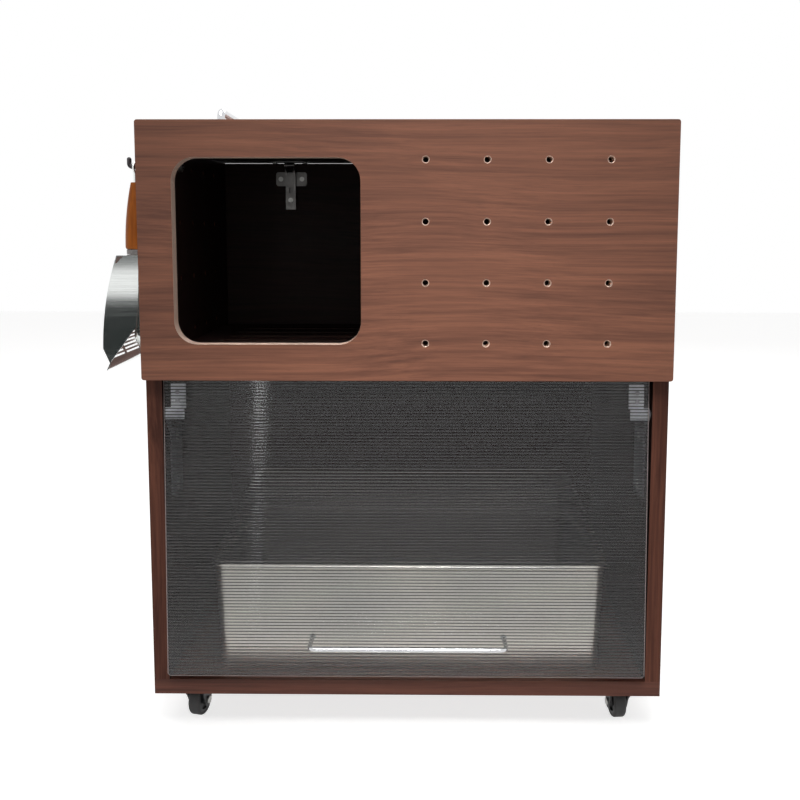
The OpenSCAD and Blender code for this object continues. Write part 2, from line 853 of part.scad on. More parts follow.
// One L-shaped hinge leaf on the sheet's back, drawn on the right, with its knuckle round the pivot
module flap_leaf() {
    back = sheet_y + sheet_t;
    difference() {
        union() {
            translate([leaf_out - leaf_w, back, leaf_z0 - over]) cube([leaf_w, leaf_t, leaf_z1 - leaf_z0 + over]);
            translate([tab_x0, back, leaf_z0 - tab_h]) cube([tab_x1 - tab_x0, leaf_t, tab_h]);
            translate([knuckle_x0, pivot_y, pivot_z]) aim("right") cylinder(d = neck_w, h = tab_x1 - knuckle_x0);
            translate([knuckle_x0, back, pivot_z - neck_w / 2]) cube([tab_x1 - knuckle_x0, pivot_back, neck_w]);
        }
        at_pivots() translate([0, 0, -over]) cylinder(d = pivot_d + 2 * run_fit, h = 30);
        at_leaf_screws() cylinder(d = leaf_screw_d, h = leaf_screw_head_h + sheet_t + leaf_t + over);
    }
}

module flap_leaf_left() {
    color("silver") mirror([1, 0, 0]) flap_leaf();
}

module flap_leaf_right() {
    color("silver") flap_leaf();
}

module flap_leaf_screws() {
    color("gainsboro") at_leaf_screws()
        screw(leaf_screw_d, leaf_screw_head_d, leaf_screw_head_h, leaf_screw_head_h + sheet_t + leaf_t);
}

module flap_handle() {
    color("silver") difference() {
        at_pull() bow(pull_cc, pull_d, pull_out, pull_bend);
        at_pull() for (x = [0, pull_cc])
            translate([x, 0, -over]) cylinder(d = pull_screw_d + 2 * run_fit, h = handle_screw_bite + over);
    }
}

module flap_handle_screws() {
    color("gainsboro") at_pull() for (x = [0, pull_cc])
        translate([x, 0, -sheet_t - handle_screw_head_h])
            screw(pull_screw_d, pull_screw_head_d, handle_screw_head_h,
                sheet_t + handle_screw_head_h + handle_screw_bite - over);
}

// A slab with round corners at one level of the pan, shrunk by an inset
module pan_slab(inset, z, h = 0.1) {
    r = pan_r - inset;
    for (x = [-1, 1], y = [0, 1])
        translate([pan_x + x * (pan_w / 2 - pan_r), y ? pan_y0 + pan_d - pan_r : pan_y0 + pan_r, z])
            cylinder(r = r, h = h, $fn = 32);
}

// The pan: sloped walls of one thickness and a rolled rim
module litter_pan() {
    foot = rim_wire + pan_taper;
    color("#b9b3ab") {
        difference() {
            hull() {
                pan_slab(foot, pan_z0);
                pan_slab(rim_wire, pan_rim_z);
            }
            hull() {
                pan_slab(foot + pan_wall, pan_z0 + pan_wall);
                pan_slab(rim_wire + pan_wall, pan_rim_z + 0.2);
            }
        }
        pan_rim();
    }
}

module pan_rim() {
    r = pan_r - rim_wire;
    x1 = pan_w / 2 - pan_r;
    y0 = pan_y0 + pan_r;
    y1 = pan_y0 + pan_d - pan_r;
    translate([pan_x, 0, pan_rim_z]) {
        for (s = [-1, 1]) translate([s * (pan_w / 2 - rim_wire), y0, 0]) aim("back") cylinder(d = rim_d, h = y1 - y0);
        for (y = [pan_y0 + rim_wire, pan_y0 + pan_d - rim_wire])
            translate([-x1, y, 0]) aim("right") cylinder(d = rim_d, h = 2 * x1);
        for (c = [[x1, y1, 0], [-x1, y1, 90], [-x1, y0, 180], [x1, y0, 270]])
            translate([c[0], c[1], 0]) rotate([0, 0, c[2]])
                rotate_extrude(angle = 90) translate([r, 0]) circle(d = rim_d);
    }
}

// Square caster plates with the race and the riveted king pin that holds the fork
module caster_plates() {
    fork_low = fork_top_z - fork_t;
    color("#4a4a4c") difference() {
        at_casters() {
            translate([-caster_plate / 2, -caster_plate / 2, base_z - plate_t])
                linear_extrude(plate_t) round_rect(caster_plate, caster_plate, 4);
            translate([0, 0, base_z - plate_t - race_h]) cylinder(d = race_d, h = race_h);
            translate([0, 0, fork_low - 0.4 - king_head_h])
                cylinder(d = king_d, h = base_z - plate_t - fork_low + 0.4 + king_head_h);
            translate([0, 0, fork_low - 0.4 - king_head_h]) cylinder(d = king_head_d, h = king_head_h);
        }
        at_caster_screws() cylinder(d = small_screw_d + 2 * run_fit, h = small_screw_len);
    }
}

module caster_plate_screws() {
    color("silver") at_caster_screws() small_screw();
}

// Places a caster's own frame: its swivel at the origin, turned to its rest angle
module at_caster(x, y, turn) {
    translate([x, y, 0]) rotate([0, 0, turn]) children();
}

// A stamped fork: a round top and two tapered legs that draw in from its shoulders down to the axle
module fork() {
    leg_x = fork_gap / 2;
    color("#1f1f21") difference() {
        union() {
            translate([0, 0, fork_top_z - fork_t]) cylinder(d = fork_top_d, h = fork_t);
            for (t = [0, 1]) mirror([t, 0, 0]) intersection() {
                along_x(leg_x, fork_shoulder) {
                    polygon([[-10, fork_top_z], [10, fork_top_z], [caster_trail + fork_leg_r, axle_z],
                        [caster_trail - fork_leg_r, axle_z]]);
                    translate([caster_trail, axle_z]) circle(r = fork_leg_r);
                }
                translate([0, base_z, 0]) rotate([90, 0, 0]) linear_extrude(2 * base_z)
                    polygon([[leg_x, 0], [leg_x + fork_t, 0], [leg_x + fork_t, flare_z0],
                        [fork_shoulder, flare_z1], [fork_shoulder, base_z], [fork_shoulder - fork_t, base_z],
                        [fork_shoulder - fork_t, flare_z1 + 0.5], [leg_x, flare_z0 + 0.5]]);
            }
        }
        cylinder(d = king_d + 2 * run_fit, h = base_z);
        translate([-base_z, caster_trail, axle_z]) aim("right") cylinder(d = axle_d + 2 * run_fit, h = 2 * base_z);
    }
}

module wheel() {
    color("#3a3a3d") translate([-wheel_w / 2, caster_trail, axle_z]) aim("right")
        rotate_extrude() difference() {
            polygon([[0, 0], [hub_d / 2, 0], [hub_d / 2, 3], [wheel_d / 2 - tyre_t - 3, 3],
                [wheel_d / 2 - tyre_t - 3, 0.5], [wheel_d / 2 - tyre_t, 0.5],
                [wheel_d / 2 - tyre_t, wheel_w - 0.5], [wheel_d / 2 - tyre_t - 3, wheel_w - 0.5],
                [wheel_d / 2 - tyre_t - 3, wheel_w - 3], [hub_d / 2, wheel_w - 3],
                [hub_d / 2, wheel_w], [0, wheel_w]]);
            square([axle_d / 2 + run_fit, wheel_w]);
        }
}

// The tyre is a ring with rounded shoulders
module tyre() {
    shoulder = 3;
    color("#2a2a2c") translate([-wheel_w / 2, caster_trail, axle_z]) aim("right")
        rotate_extrude() difference() {
            union() {
                translate([wheel_d / 2 - tyre_t, 0]) square([tyre_t - shoulder, wheel_w]);
                translate([wheel_d / 2 - tyre_t, shoulder]) square([tyre_t, wheel_w - 2 * shoulder]);
                for (y = [shoulder, wheel_w - shoulder])
                    translate([wheel_d / 2 - shoulder, y]) circle(r = shoulder);
            }
            square([wheel_d / 2 - tyre_t + run_fit, wheel_w]);
        }
}

module axle() {
    reach = fork_gap / 2 + fork_t;
    color("silver") translate([-reach, caster_trail, axle_z]) aim("right") {
        cylinder(d = axle_d, h = 2 * reach);
        for (z = [-axle_head_h, 2 * reach]) translate([0, 0, z]) cylinder(d = axle_head_d, h = axle_head_h);
    }
}

module caster_fork_front_left() at_caster(-caster_x, caster_y0, turn_fl) fork();
module caster_wheel_front_left() at_caster(-caster_x, caster_y0, turn_fl) wheel();
module caster_tyre_front_left() at_caster(-caster_x, caster_y0, turn_fl) tyre();
module caster_axle_front_left() at_caster(-caster_x, caster_y0, turn_fl) axle();
module caster_fork_front_right() at_caster(caster_x, caster_y0, turn_fr) fork();
module caster_wheel_front_right() at_caster(caster_x, caster_y0, turn_fr) wheel();
module caster_tyre_front_right() at_caster(caster_x, caster_y0, turn_fr) tyre();
module caster_axle_front_right() at_caster(caster_x, caster_y0, turn_fr) axle();
module caster_fork_rear_left() at_caster(-caster_x, caster_y1, turn_rl) fork();
module caster_wheel_rear_left() at_caster(-caster_x, caster_y1, turn_rl) wheel();
module caster_tyre_rear_left() at_caster(-caster_x, caster_y1, turn_rl) tyre();
module caster_axle_rear_left() at_caster(-caster_x, caster_y1, turn_rl) axle();
module caster_fork_rear_right() at_caster(caster_x, caster_y1, turn_rr) fork();
module caster_wheel_rear_right() at_caster(caster_x, caster_y1, turn_rr) wheel();
module caster_tyre_rear_right() at_caster(caster_x, caster_y1, turn_rr) tyre();
module caster_axle_rear_right() at_caster(caster_x, caster_y1, turn_rr) axle();

// The hook: a rod through the vent hole with a flange outside and a turned-up end
module scoop_hook() {
    reach = hook_out + hook_past;
    color("#2e2e30") translate([-half_w, hook_y, hook_z]) {
        translate([-hook_flange_t, 0, 0]) aim("right") cylinder(d = hook_flange_d, h = hook_flange_t);
        translate([-reach + hook_bend, 0, 0]) aim("right")
            cylinder(d = hook_d, h = reach - hook_bend + board_t + nut_t + 2);
        translate([-reach + hook_bend, 0, hook_bend]) rotate([90, 180, 0]) rotate_extrude(angle = 90)
            translate([hook_bend, 0]) circle(d = hook_d);
        translate([-reach, 0, hook_bend]) cylinder(d = hook_d, h = hook_tip - hook_bend);
        translate([-reach, 0, hook_tip]) sphere(d = hook_d);
    }
}

module scoop_hook_nut() {
    color("silver") translate([-inner_half, hook_y, hook_z]) aim("right") difference() {
        cylinder(d = nut_d, h = nut_t, $fn = 6);
        translate([0, 0, -over]) cylinder(d = hook_d, h = nut_t + 2 * over);
    }
}

// The scoop's own frame: the hook's axis at the origin, -Z down the scoop, -X away from the cabinet
module in_scoop() {
    translate([-half_w - hook_out, hook_y, hook_z]) children();
}

// The rod through the handle: an eye on the hook, and a riveted end below the heel plate
module scoop_rod() {
    color("silver") in_scoop() {
        translate([0, 0, -eye_drop]) aim("right") rotate_extrude() translate([eye_r, 0]) circle(d = eye_wire);
        translate([0, 0, -heel_v - blade_t]) cylinder(d = rod_d, h = heel_v + blade_t - eye_drop - eye_r);
        translate([0, 0, -heel_v - blade_t - rivet_h]) cylinder(d = rivet_d, h = rivet_h);
    }
}

// The turned handle: one long arc from its full end up to its thin top, bored for the rod
module scoop_handle() {
    taper = (grip_d - grip_top_d) / 2;
    arc_r = (grip_len * grip_len + taper * taper) / (2 * taper);
    foot_r = 3;
    color("#b5652c") in_scoop() translate([0, 0, -grip_top - grip_len]) rotate_extrude() difference() {
        intersection() {
            translate([grip_d / 2 - arc_r, foot_r]) circle(r = arc_r, $fn = 360);
            union() {
                translate([0, foot_r]) square([grip_d / 2, grip_len - foot_r]);
                square([grip_d / 2 - foot_r, grip_len]);
                translate([grip_d / 2 - foot_r, foot_r]) circle(r = foot_r);
            }
        }
        square([rod_d / 2, grip_len]);
    }
}

module scoop_ferrule() {
    color("#5a5a5c") in_scoop() translate([0, 0, -grip_top - grip_len - ferrule_h]) difference() {
        cylinder(d = ferrule_d, h = ferrule_h);
        translate([0, 0, -over]) cylinder(d = rod_d, h = ferrule_h + 2 * over);
    }
}

// The disc whose left edge is the outside of the blade's bowed back
module bow_disc(inset) {
    translate([bow_x, -bow_v]) circle(r = bow_r - inset, $fn = 720);
}

// The blade: a bowed and slotted back with a turned toe, a heel plate, and two side walls with free edges
module scoop_blade() {
    half = blade_w / 2;
    bend = [bend_x, -bend_v];
    toe = [toe_x, -toe_v];
    lip = [lip_x, -lip_v];
    t = [blade_t, 0];
    inside = blade_x0 + blade_depth;
    row_len = half - sift_edge - sift_rib / 2;
    color("#b8b4ac") in_scoop() difference() {
        union() {
            translate([0, half, 0]) rotate([90, 0, 0]) linear_extrude(blade_w) {
                intersection() {
                    difference() {
                        bow_disc(0);
                        bow_disc(blade_t);
                    }
                    translate([bend_x - over, -bend_v]) square([blade_lean + blade_t + 2 * over, blade_len]);
                }
                polygon([bend, toe, lip, lip + t, toe + t, bend + t]);
            }
            translate([blade_x0, -half, -heel_v - blade_t]) cube([blade_depth, blade_w, blade_t]);
            for (y = [-half, half - blade_t])
                translate([0, y + blade_t, 0]) rotate([90, 0, 0]) linear_extrude(blade_t) intersection() {
                    bow_disc(0);
                    polygon([[blade_x0 + wall_notch, -heel_v], [inside, -heel_v],
                        [inside - 2, -heel_v - blade_len / 2], [inside - 5, -bend_v + 26], toe, bend,
                        [bend_x - over, -bend_v], [bend_x - over, -heel_v - wall_notch - 2],
                        [blade_x0, -heel_v - wall_notch]]);
                }
        }
        translate([0, 0, -heel_v - 2 * over]) cylinder(d = rod_d, h = 3 * over);
        for (i = [0:sift_n - 1], y = [-half + sift_edge, sift_rib / 2])
            translate([bend_x - over, y, -heel_v - sift_top - i * sift_pitch - sift_w])
                cube([blade_lean + 2 * over, row_len, sift_w]);
    }
}

in_frame() left_side_panel();
in_frame() right_side_panel();
in_frame() bottom_board();
in_frame() back_panel();
in_frame() shelf();
in_frame() front_fascia();
in_frame() fascia_dowels();
in_frame() carcass_screws();
in_frame() screw_caps();
in_frame() lid_bumpers();
in_frame() hinge_plates();
in_frame() hinge_plate_screws();
in_frame() hinge_arms();
in_frame() hinge_arm_screws();
in_frame() hinge_arm_pins();
in_frame() hinge_links();
in_frame() lid();
in_frame() hinge_cups();
in_frame() hinge_cup_pins();
in_frame() hinge_cup_screws();
in_frame() lid_handle();
in_frame() lid_handle_screws();
in_frame() flap_wall_plates();
in_frame() flap_plate_screws();
in_frame() flap_pivot_pins();
in_frame() ajar() flap_sheet();
in_frame() ajar() flap_leaf_left();
in_frame() ajar() flap_leaf_right();
in_frame() ajar() flap_leaf_screws();
in_frame() ajar() flap_handle();
in_frame() ajar() flap_handle_screws();
in_frame() litter_pan();
in_frame() caster_plates();
in_frame() caster_plate_screws();
in_frame() caster_fork_front_left();
in_frame() caster_wheel_front_left();
in_frame() caster_tyre_front_left();
in_frame() caster_axle_front_left();
in_frame() caster_fork_front_right();
in_frame() caster_wheel_front_right();
in_frame() caster_tyre_front_right();
in_frame() caster_axle_front_right();
in_frame() caster_fork_rear_left();
in_frame() caster_wheel_rear_left();
in_frame() caster_tyre_rear_left();
in_frame() caster_axle_rear_left();
in_frame() caster_fork_rear_right();
in_frame() caster_wheel_rear_right();
in_frame() caster_tyre_rear_right();
in_frame() caster_axle_rear_right();
in_frame() scoop_hook();
in_frame() scoop_hook_nut();
in_frame() scoop_rod();
in_frame() scoop_handle();
in_frame() scoop_ferrule();
in_frame() scoop_blade();
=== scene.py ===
"""Cat litter box cabinet: its looks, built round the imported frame. Lengths in the script are metres."""
import math

import bpy
from mathutils import Matrix, Vector


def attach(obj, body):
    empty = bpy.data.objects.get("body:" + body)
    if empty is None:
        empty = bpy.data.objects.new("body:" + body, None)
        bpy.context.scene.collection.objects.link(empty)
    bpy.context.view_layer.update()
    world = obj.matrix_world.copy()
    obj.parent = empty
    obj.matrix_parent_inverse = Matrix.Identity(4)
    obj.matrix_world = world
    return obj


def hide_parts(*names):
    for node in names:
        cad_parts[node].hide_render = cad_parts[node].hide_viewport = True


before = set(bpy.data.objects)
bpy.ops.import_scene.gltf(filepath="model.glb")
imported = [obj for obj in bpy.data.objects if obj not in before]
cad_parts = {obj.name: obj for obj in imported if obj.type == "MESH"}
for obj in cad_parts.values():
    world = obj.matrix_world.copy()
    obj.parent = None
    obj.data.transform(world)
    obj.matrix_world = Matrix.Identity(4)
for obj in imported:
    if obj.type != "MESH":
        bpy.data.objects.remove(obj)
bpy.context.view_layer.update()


# The carcass: two sides, a bottom, a back and a shelf of laminated board, 18 mm thick. The laminate is a
# walnut print with fine pores, and thin banding covers the sawn edges. The boards are screwed together.
# The grain runs along a board's length: up the sides, and across the shelf, bottom and back.

def place(x, y, z):
    """A point given in millimetres from the cabinet's middle, its front face and the floor."""
    return Vector(((x + 29.5) / 1000, (y - 199.586) / 1000, z / 1000))


def spread():
    """Nothing is selected after this."""
    bpy.ops.object.select_all(action="DESELECT")


def take(piece):
    spread()
    piece.select_set(True)
    bpy.context.view_layer.objects.active = piece


def smooth(piece, degrees=35):
    take(piece)
    bpy.ops.object.shade_smooth_by_angle(angle=math.radians(degrees))


def settle(piece, name):
    """Names a finished piece and puts its place in its mesh."""
    piece.name = name
    piece.data.name = name
    take(piece)
    bpy.ops.object.transform_apply(location=True, rotation=True, scale=True)
    return piece


def finish_modifiers(piece):
    take(piece)
    for modifier in list(piece.modifiers):
        bpy.ops.object.modifier_apply(modifier=modifier.name)


def eased(node, name, width=0.0004, degrees=50, segments=2, cut=None):
    """A copy of a CAD node, its doubles merged and its sharp edges eased as sanding or a die leaves them."""
    piece = bpy.data.objects.new(name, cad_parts[node].data.copy())
    bpy.context.scene.collection.objects.link(piece)
    take(piece)
    bpy.ops.object.mode_set(mode="EDIT")
    bpy.ops.mesh.select_all(action="SELECT")
    bpy.ops.mesh.remove_doubles(threshold=0.00001)
    bpy.ops.mesh.dissolve_limited(angle_limit=math.radians(1.0))
    bpy.ops.object.mode_set(mode="OBJECT")
    bevel = piece.modifiers.new("ease", "BEVEL")
    bevel.width = width
    bevel.segments = segments
    bevel.limit_method = "ANGLE"
    bevel.angle_limit = math.radians(degrees)
    if cut is not None:
        bevel.material = cut
    finish_modifiers(piece)
    smooth(piece)
    flat = piece.modifiers.new("flat", "WEIGHTED_NORMAL")
    flat.keep_sharp = True
    flat.weight = 100
    finish_modifiers(piece)
    piece.name = name
    piece.data.name = name
    return piece


def coat(piece, *materials):
    piece.data.materials.clear()
    for material in materials:
        piece.data.materials.append(material)


def dress(node, material):
    """Gives a CAD node its material."""
    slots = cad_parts[node].material_slots
    for slot in slots:
        slot.material = material


def srgb(red, green, blue):
    """A colour read off in 0 to 255, as the linear colour that shaders take."""
    parts = (red, green, blue)
    return tuple(((v / 255 + 0.055) / 1.055) ** 2.4 if v > 10 else v / 255 / 12.92 for v in parts) + (1,)


class Nodes:
    """Short calls for laying out one node tree."""

    def __init__(self, tree):
        self.tree = tree

    def add(self, kind, settings=None, **links):
        node = self.tree.nodes.new(kind)
        for key, value in (settings or {}).items():
            setattr(node, key, value)
        for key, value in links.items():
            self.plug(node, key.replace("_", " "), value)
        return node

    def plug(self, node, socket, value):
        socket = node.inputs[int(socket)] if str(socket).isdigit() else node.inputs[socket]
        if isinstance(value, bpy.types.NodeSocket):
            self.tree.links.new(value, socket)
        else:
            socket.default_value = value

    def math(self, operation, a, b=0.0, clamp=False):
        node = self.tree.nodes.new("ShaderNodeMath")
        node.operation = operation
        node.use_clamp = clamp
        self.plug(node, 0, a)
        self.plug(node, 1, b)
        return node.outputs[0]

    def ramp(self, value, low, high, start=0.0, end=1.0):
        node = self.tree.nodes.new("ShaderNodeMapRange")
        self.plug(node, "Value", value)
        for key, number in (("From Min", low), ("From Max", high), ("To Min", start), ("To Max", end)):
            node.inputs[key].default_value = number
        return node.outputs["Result"]

    def blend(self, factor, a, b, mode="MIX"):
        node = self.tree.nodes.new("ShaderNodeMix")
        node.data_type = "RGBA"
        node.blend_type = mode
        for socket, value in ((node.inputs["Factor"], factor), (node.inputs[6], a), (node.inputs[7], b)):
            if isinstance(value, bpy.types.NodeSocket):
                self.tree.links.new(value, socket)
            else:
                socket.default_value = value
        return node.outputs[2]

    def noise(self, vector, scale, detail=3.0, roughness=0.55, distortion=0.0):
        node = self.add("ShaderNodeTexNoise", {"noise_dimensions": "3D"}, Vector=vector)
        for key, number in (("Scale", scale), ("Detail", detail), ("Roughness", roughness),
                            ("Distortion", distortion)):
            node.inputs[key].default_value = number
        return node.outputs[0]

    def stretch(self, vector, scale, turn=(0, 0, 0), shift=(0, 0, 0)):
        node = self.add("ShaderNodeMapping", None, Vector=vector, Scale=scale, Rotation=turn, Location=shift)
        return node.outputs[0]


def material(name):
    """An empty material with its Principled shader, and the object's own coordinates."""
    made = bpy.data.materials.new(name)
    made.use_nodes = True
    lay = Nodes(made.node_tree)
    shader = made.node_tree.nodes["Principled BSDF"]
    place_in = lay.add("ShaderNodeTexCoord").outputs["Object"]
    return made, lay, shader, place_in


def group(name, inputs, outputs):
    tree = bpy.data.node_groups.new(name, "ShaderNodeTree")
    for label, kind in inputs:
        tree.interface.new_socket(name=label, in_out="INPUT", socket_type=kind)
    for label, kind in outputs:
        tree.interface.new_socket(name=label, in_out="OUTPUT", socket_type=kind)
    lay = Nodes(tree)
    return tree, lay, lay.add("NodeGroupInput").outputs, lay.add("NodeGroupOutput")


def use(lay, tree, **links):
    node = lay.add("ShaderNodeGroup", {"node_tree": tree})
    for key, value in links.items():
        lay.plug(node, key.replace("_", " "), value)
    return node.outputs


# walnut print: slow waves bend the grain, which is long streaks, fine lines and fibres along X, and short pores
walnut, lay, given, made = group(
    "walnut_print",
    [("Vector", "NodeSocketVector"), ("Dark", "NodeSocketColor"), ("Light", "NodeSocketColor")],
    [("Color", "NodeSocketColor"), ("Roughness", "NodeSocketFloat"), ("Height", "NodeSocketFloat")])
wave = lay.noise(lay.stretch(given["Vector"], (2.0, 5, 5)), 1.0, 1.5, 0.5)
bent = lay.add("ShaderNodeVectorMath", {"operation": "ADD"}, **{"0": given["Vector"]})
lift = lay.add("ShaderNodeCombineXYZ", None, Z=lay.math("MULTIPLY", wave, 0.05),
               Y=lay.math("MULTIPLY", wave, 0.05))
lay.plug(bent, 1, lift.outputs[0])
bent = bent.outputs[0]
band = lay.noise(lay.stretch(bent, (1.6, 13, 13)), 1.0, 2.0, 0.5)
streak = lay.noise(lay.stretch(bent, (2.2, 95, 95)), 1.0, 4.0, 0.66)
fine = lay.noise(lay.stretch(bent, (5, 290, 290)), 1.0, 3.0, 0.6)
fibre = lay.noise(lay.stretch(bent, (26, 1100, 1100)), 1.0, 2.0, 0.6)
pore = lay.ramp(lay.noise(lay.stretch(bent, (70, 1900, 1900)), 1.0, 1.0, 0.5), 0.62, 0.74)
tone = lay.math("ADD", lay.math("MULTIPLY", band, 0.24), lay.math("MULTIPLY", streak, 0.36))
tone = lay.math("ADD", tone, lay.math("MULTIPLY", fine, 0.28))
tone = lay.math("ADD", tone, lay.math("MULTIPLY", fibre, 0.12))
tone = lay.ramp(tone, 0.40, 0.60)
body = lay.blend(tone, given["Dark"], given["Light"])
body = lay.blend(lay.math("MULTIPLY", pore, 0.35), body, given["Dark"])
lay.plug(made, "Color", body)
lay.plug(made, "Roughness", lay.ramp(fibre, 0.3, 0.7, 0.44, 0.56))
lay.plug(made, "Height", lay.math("SUBTRACT", lay.math("MULTIPLY", fibre, 0.6), pore))

# fine soiling and rubbing that most of the finishes share: a slow mottling between 0 and 1
mottle, lay, given, made = group(
    "slow_mottle", [("Vector", "NodeSocketVector"), ("Scale", "NodeSocketFloat")], [("Fac", "NodeSocketFloat")])
cloud = lay.add("ShaderNodeTexNoise", None, Vector=given["Vector"], Scale=given["Scale"])
cloud.inputs["Detail"].default_value = 5
lay.plug(made, "Fac", lay.ramp(cloud.outputs[0], 0.3, 0.7))


def laminate(name, dark, light, upright=False, shift=(0, 0, 0), shine=0.5):
    """Walnut laminate, with its grain across or upright, and shifted so that no two boards match."""
    made, lay, shader, spot = material(name)
    turn = (0, math.radians(90), 0) if upright else (0, 0, 0)
    grain = use(lay, walnut, Vector=lay.stretch(spot, (1, 1, 1), turn, shift), Dark=dark, Light=light)
    rub = use(lay, mottle, Vector=spot, Scale=5.0)["Fac"]
    lay.plug(shader, "Base Color", lay.blend(lay.math("MULTIPLY", rub, 0.10), grain["Color"], dark))
    lay.plug(shader, "Roughness", lay.math("ADD", grain["Roughness"], lay.math("MULTIPLY", rub, 0.06)))
    shader.inputs["Specular IOR Level"].default_value = shine
    bump = lay.add("ShaderNodeBump", None, Strength=0.12, Distance=0.0002, Height=grain["Height"])
    lay.plug(shader, "Normal", bump.outputs[0])
    return made


board_dark, board_light = srgb(98, 58, 42), srgb(152, 98, 74)
# The sides and the bottom board take darker copies of the front's walnut laminate: their lower tone is painted
# shade.
side_walnut_painted_shade = laminate("walnut_upright_painted_shade", srgb(68, 37, 28), srgb(120, 74, 58), upright=True, shine=0.2)
base_walnut_painted_shade = laminate("walnut_base_painted_shade", srgb(74, 40, 30), srgb(120, 73, 58), shift=(0.3, 0, 0.7), shine=0.35)
# The faces inside the cabinet (the sides' inner faces, the shelf, the back panel and the lid's underside) take a
# much darker copy of the same laminate: painted shade for the dark inside.
inner_walnut_painted_shade = laminate("walnut_inner_painted_shade", srgb(34, 20, 17), srgb(56, 36, 31), shift=(0.1, 0.4, 0.2), shine=0.2)

for node, inward in (("left_side_panel", 1), ("right_side_panel", -1)):
    board = eased(node, node + "_board")
    coat(board, side_walnut_painted_shade, inner_walnut_painted_shade)
    # faces that look into the cabinet get the painted-shade copy
    for face in board.data.polygons:
        if face.normal.x * inward > 0.9:
            face.material_index = 1
    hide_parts(node)
    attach(board, "cabinet")
base = eased("bottom_board", "bottom_board_board", 0.0005)
coat(base, base_walnut_painted_shade)
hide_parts("bottom_board")
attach(base, "cabinet")
shelf_board = eased("shelf", "shelf_board", 0.0006)
coat(shelf_board, inner_walnut_painted_shade)
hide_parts("shelf")
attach(shelf_board, "cabinet")
dress("back_panel", inner_walnut_painted_shade)


# The carcass screws, their caps, the beech dowels that hold the front, and the clear pads under the lid.
# The screws are zinc-plated, and only the caps' faces and the pads are seen from outside.

def zinc(name, colour, rough=0.34):
    """Plated steel: faintly blotched, with a soft shine."""
    made, lay, shader, spot = material(name)
    blotch = use(lay, mottle, Vector=spot, Scale=160.0)["Fac"]
    worn = tuple(c * 0.7 for c in colour[:3]) + (1,)
    lay.plug(shader, "Base Color", lay.blend(lay.math("MULTIPLY", blotch, 0.25), colour, worn))
    shader.inputs["Metallic"].default_value = 1.0
    lay.plug(shader, "Roughness", lay.ramp(blotch, 0.0, 1.0, rough - 0.06, rough + 0.1))
    return made


screw_zinc = zinc("zinc_plate", srgb(196, 196, 192))
for node in ("carcass_screws", "hinge_plate_screws", "hinge_arm_screws", "hinge_arm_pins", "hinge_cup_pins",
             "hinge_cup_screws", "lid_handle_screws", "flap_plate_screws", "flap_pivot_pins", "caster_plate_screws",
             "scoop_hook_nut"):
    dress(node, screw_zinc)

beech, lay, shader, spot = material("beech_dowel")
fluting = lay.noise(lay.stretch(spot, (700, 40, 700)), 1.0, 3.0)
lay.plug(shader, "Base Color", lay.blend(fluting, srgb(190, 158, 120), srgb(222, 196, 160)))
shader.inputs["Roughness"].default_value = 0.7
dress("fascia_dowels", beech)

cap_plastic, lay, shader, spot = material("cap_plastic")
pebble = lay.noise(spot, 2600.0, 2.0)
lay.plug(shader, "Base Color", lay.blend(pebble, srgb(74, 46, 38), srgb(92, 60, 50)))
shader.inputs["Roughness"].default_value = 0.5
bump = lay.add("ShaderNodeBump", None, Strength=0.2, Distance=0.0001, Height=pebble)
lay.plug(shader, "Normal", bump.outputs[0])
caps = eased("screw_caps", "screw_caps_domed", 0.0006, 60, 3)
coat(caps, cap_plastic)
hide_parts("screw_caps")
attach(caps, "cabinet")

pad_gel, lay, shader, spot = material("clear_pad")
lay.plug(shader, "Base Color", lay.blend(use(lay, mottle, Vector=spot, Scale=300.0)["Fac"],
                                         srgb(214, 214, 208), srgb(236, 236, 230)))
shader.inputs["Roughness"].default_value = 0.25
shader.inputs["Transmission Weight"].default_value = 0.6
pads = eased("lid_bumpers", "lid_bumpers_domed", 0.0004, 60, 3)
coat(pads, pad_gel)
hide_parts("lid_bumpers")
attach(pads, "cabinet")


# The front: one wide laminated board over the carcass, with the cat's entry and 16 vent holes cut through it.
# The cuts are left raw, so the pale fibreboard core shows in the entry's edge and inside the holes, and the eased
# arris where the banding meets the face is painted pale, a painted highlight for the glint along the edge.

raw_core, lay, shader, spot = material("raw_core")
speck = lay.noise(spot, 900.0, 3.0, 0.7)
lay.plug(shader, "Base Color", lay.blend(speck, srgb(212, 180, 162), srgb(236, 208, 190)))
shader.inputs["Roughness"].default_value = 0.8
bump = lay.add("ShaderNodeBump", None, Strength=0.3, Distance=0.0002, Height=speck)
lay.plug(shader, "Normal", bump.outputs[0])

# The eased arris of the front and the lid is painted pale: a painted highlight for the glint along their edges.
edge_painted_highlight, lay, shader, spot = material("edge_painted_highlight")
lay.plug(shader, "Base Color", lay.blend(lay.noise(lay.stretch(spot, (6, 400, 400)), 1.0),
                                         srgb(150, 112, 96), srgb(186, 150, 134)))
shader.inputs["Roughness"].default_value = 0.45

front_walnut = laminate("walnut_front", board_dark, board_light)
fascia = eased("front_fascia", "front_fascia_board", 0.0005, 60, 2, cut=2)
coat(fascia, front_walnut, raw_core, edge_painted_highlight)
entry_low, entry_high = place(-262, 0, 469), place(-50, 18, 680)
vent_low, vent_high = place(10, 0, 465), place(235, 18, 690)
for face in fascia.data.polygons:
    x, z = face.center.x, face.center.z
    in_entry = entry_low.x < x < entry_high.x and entry_low.z < z < entry_high.z
    in_vents = vent_low.x < x < vent_high.x and vent_low.z < z < vent_high.z
    if (in_entry or in_vents) and abs(face.normal.y) < 0.9 and face.area < 0.001:
        face.material_index = 1
    elif in_entry and abs(face.normal.y) < 0.9:
        face.material_index = 1
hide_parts("front_fascia")
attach(fascia, "cabinet")


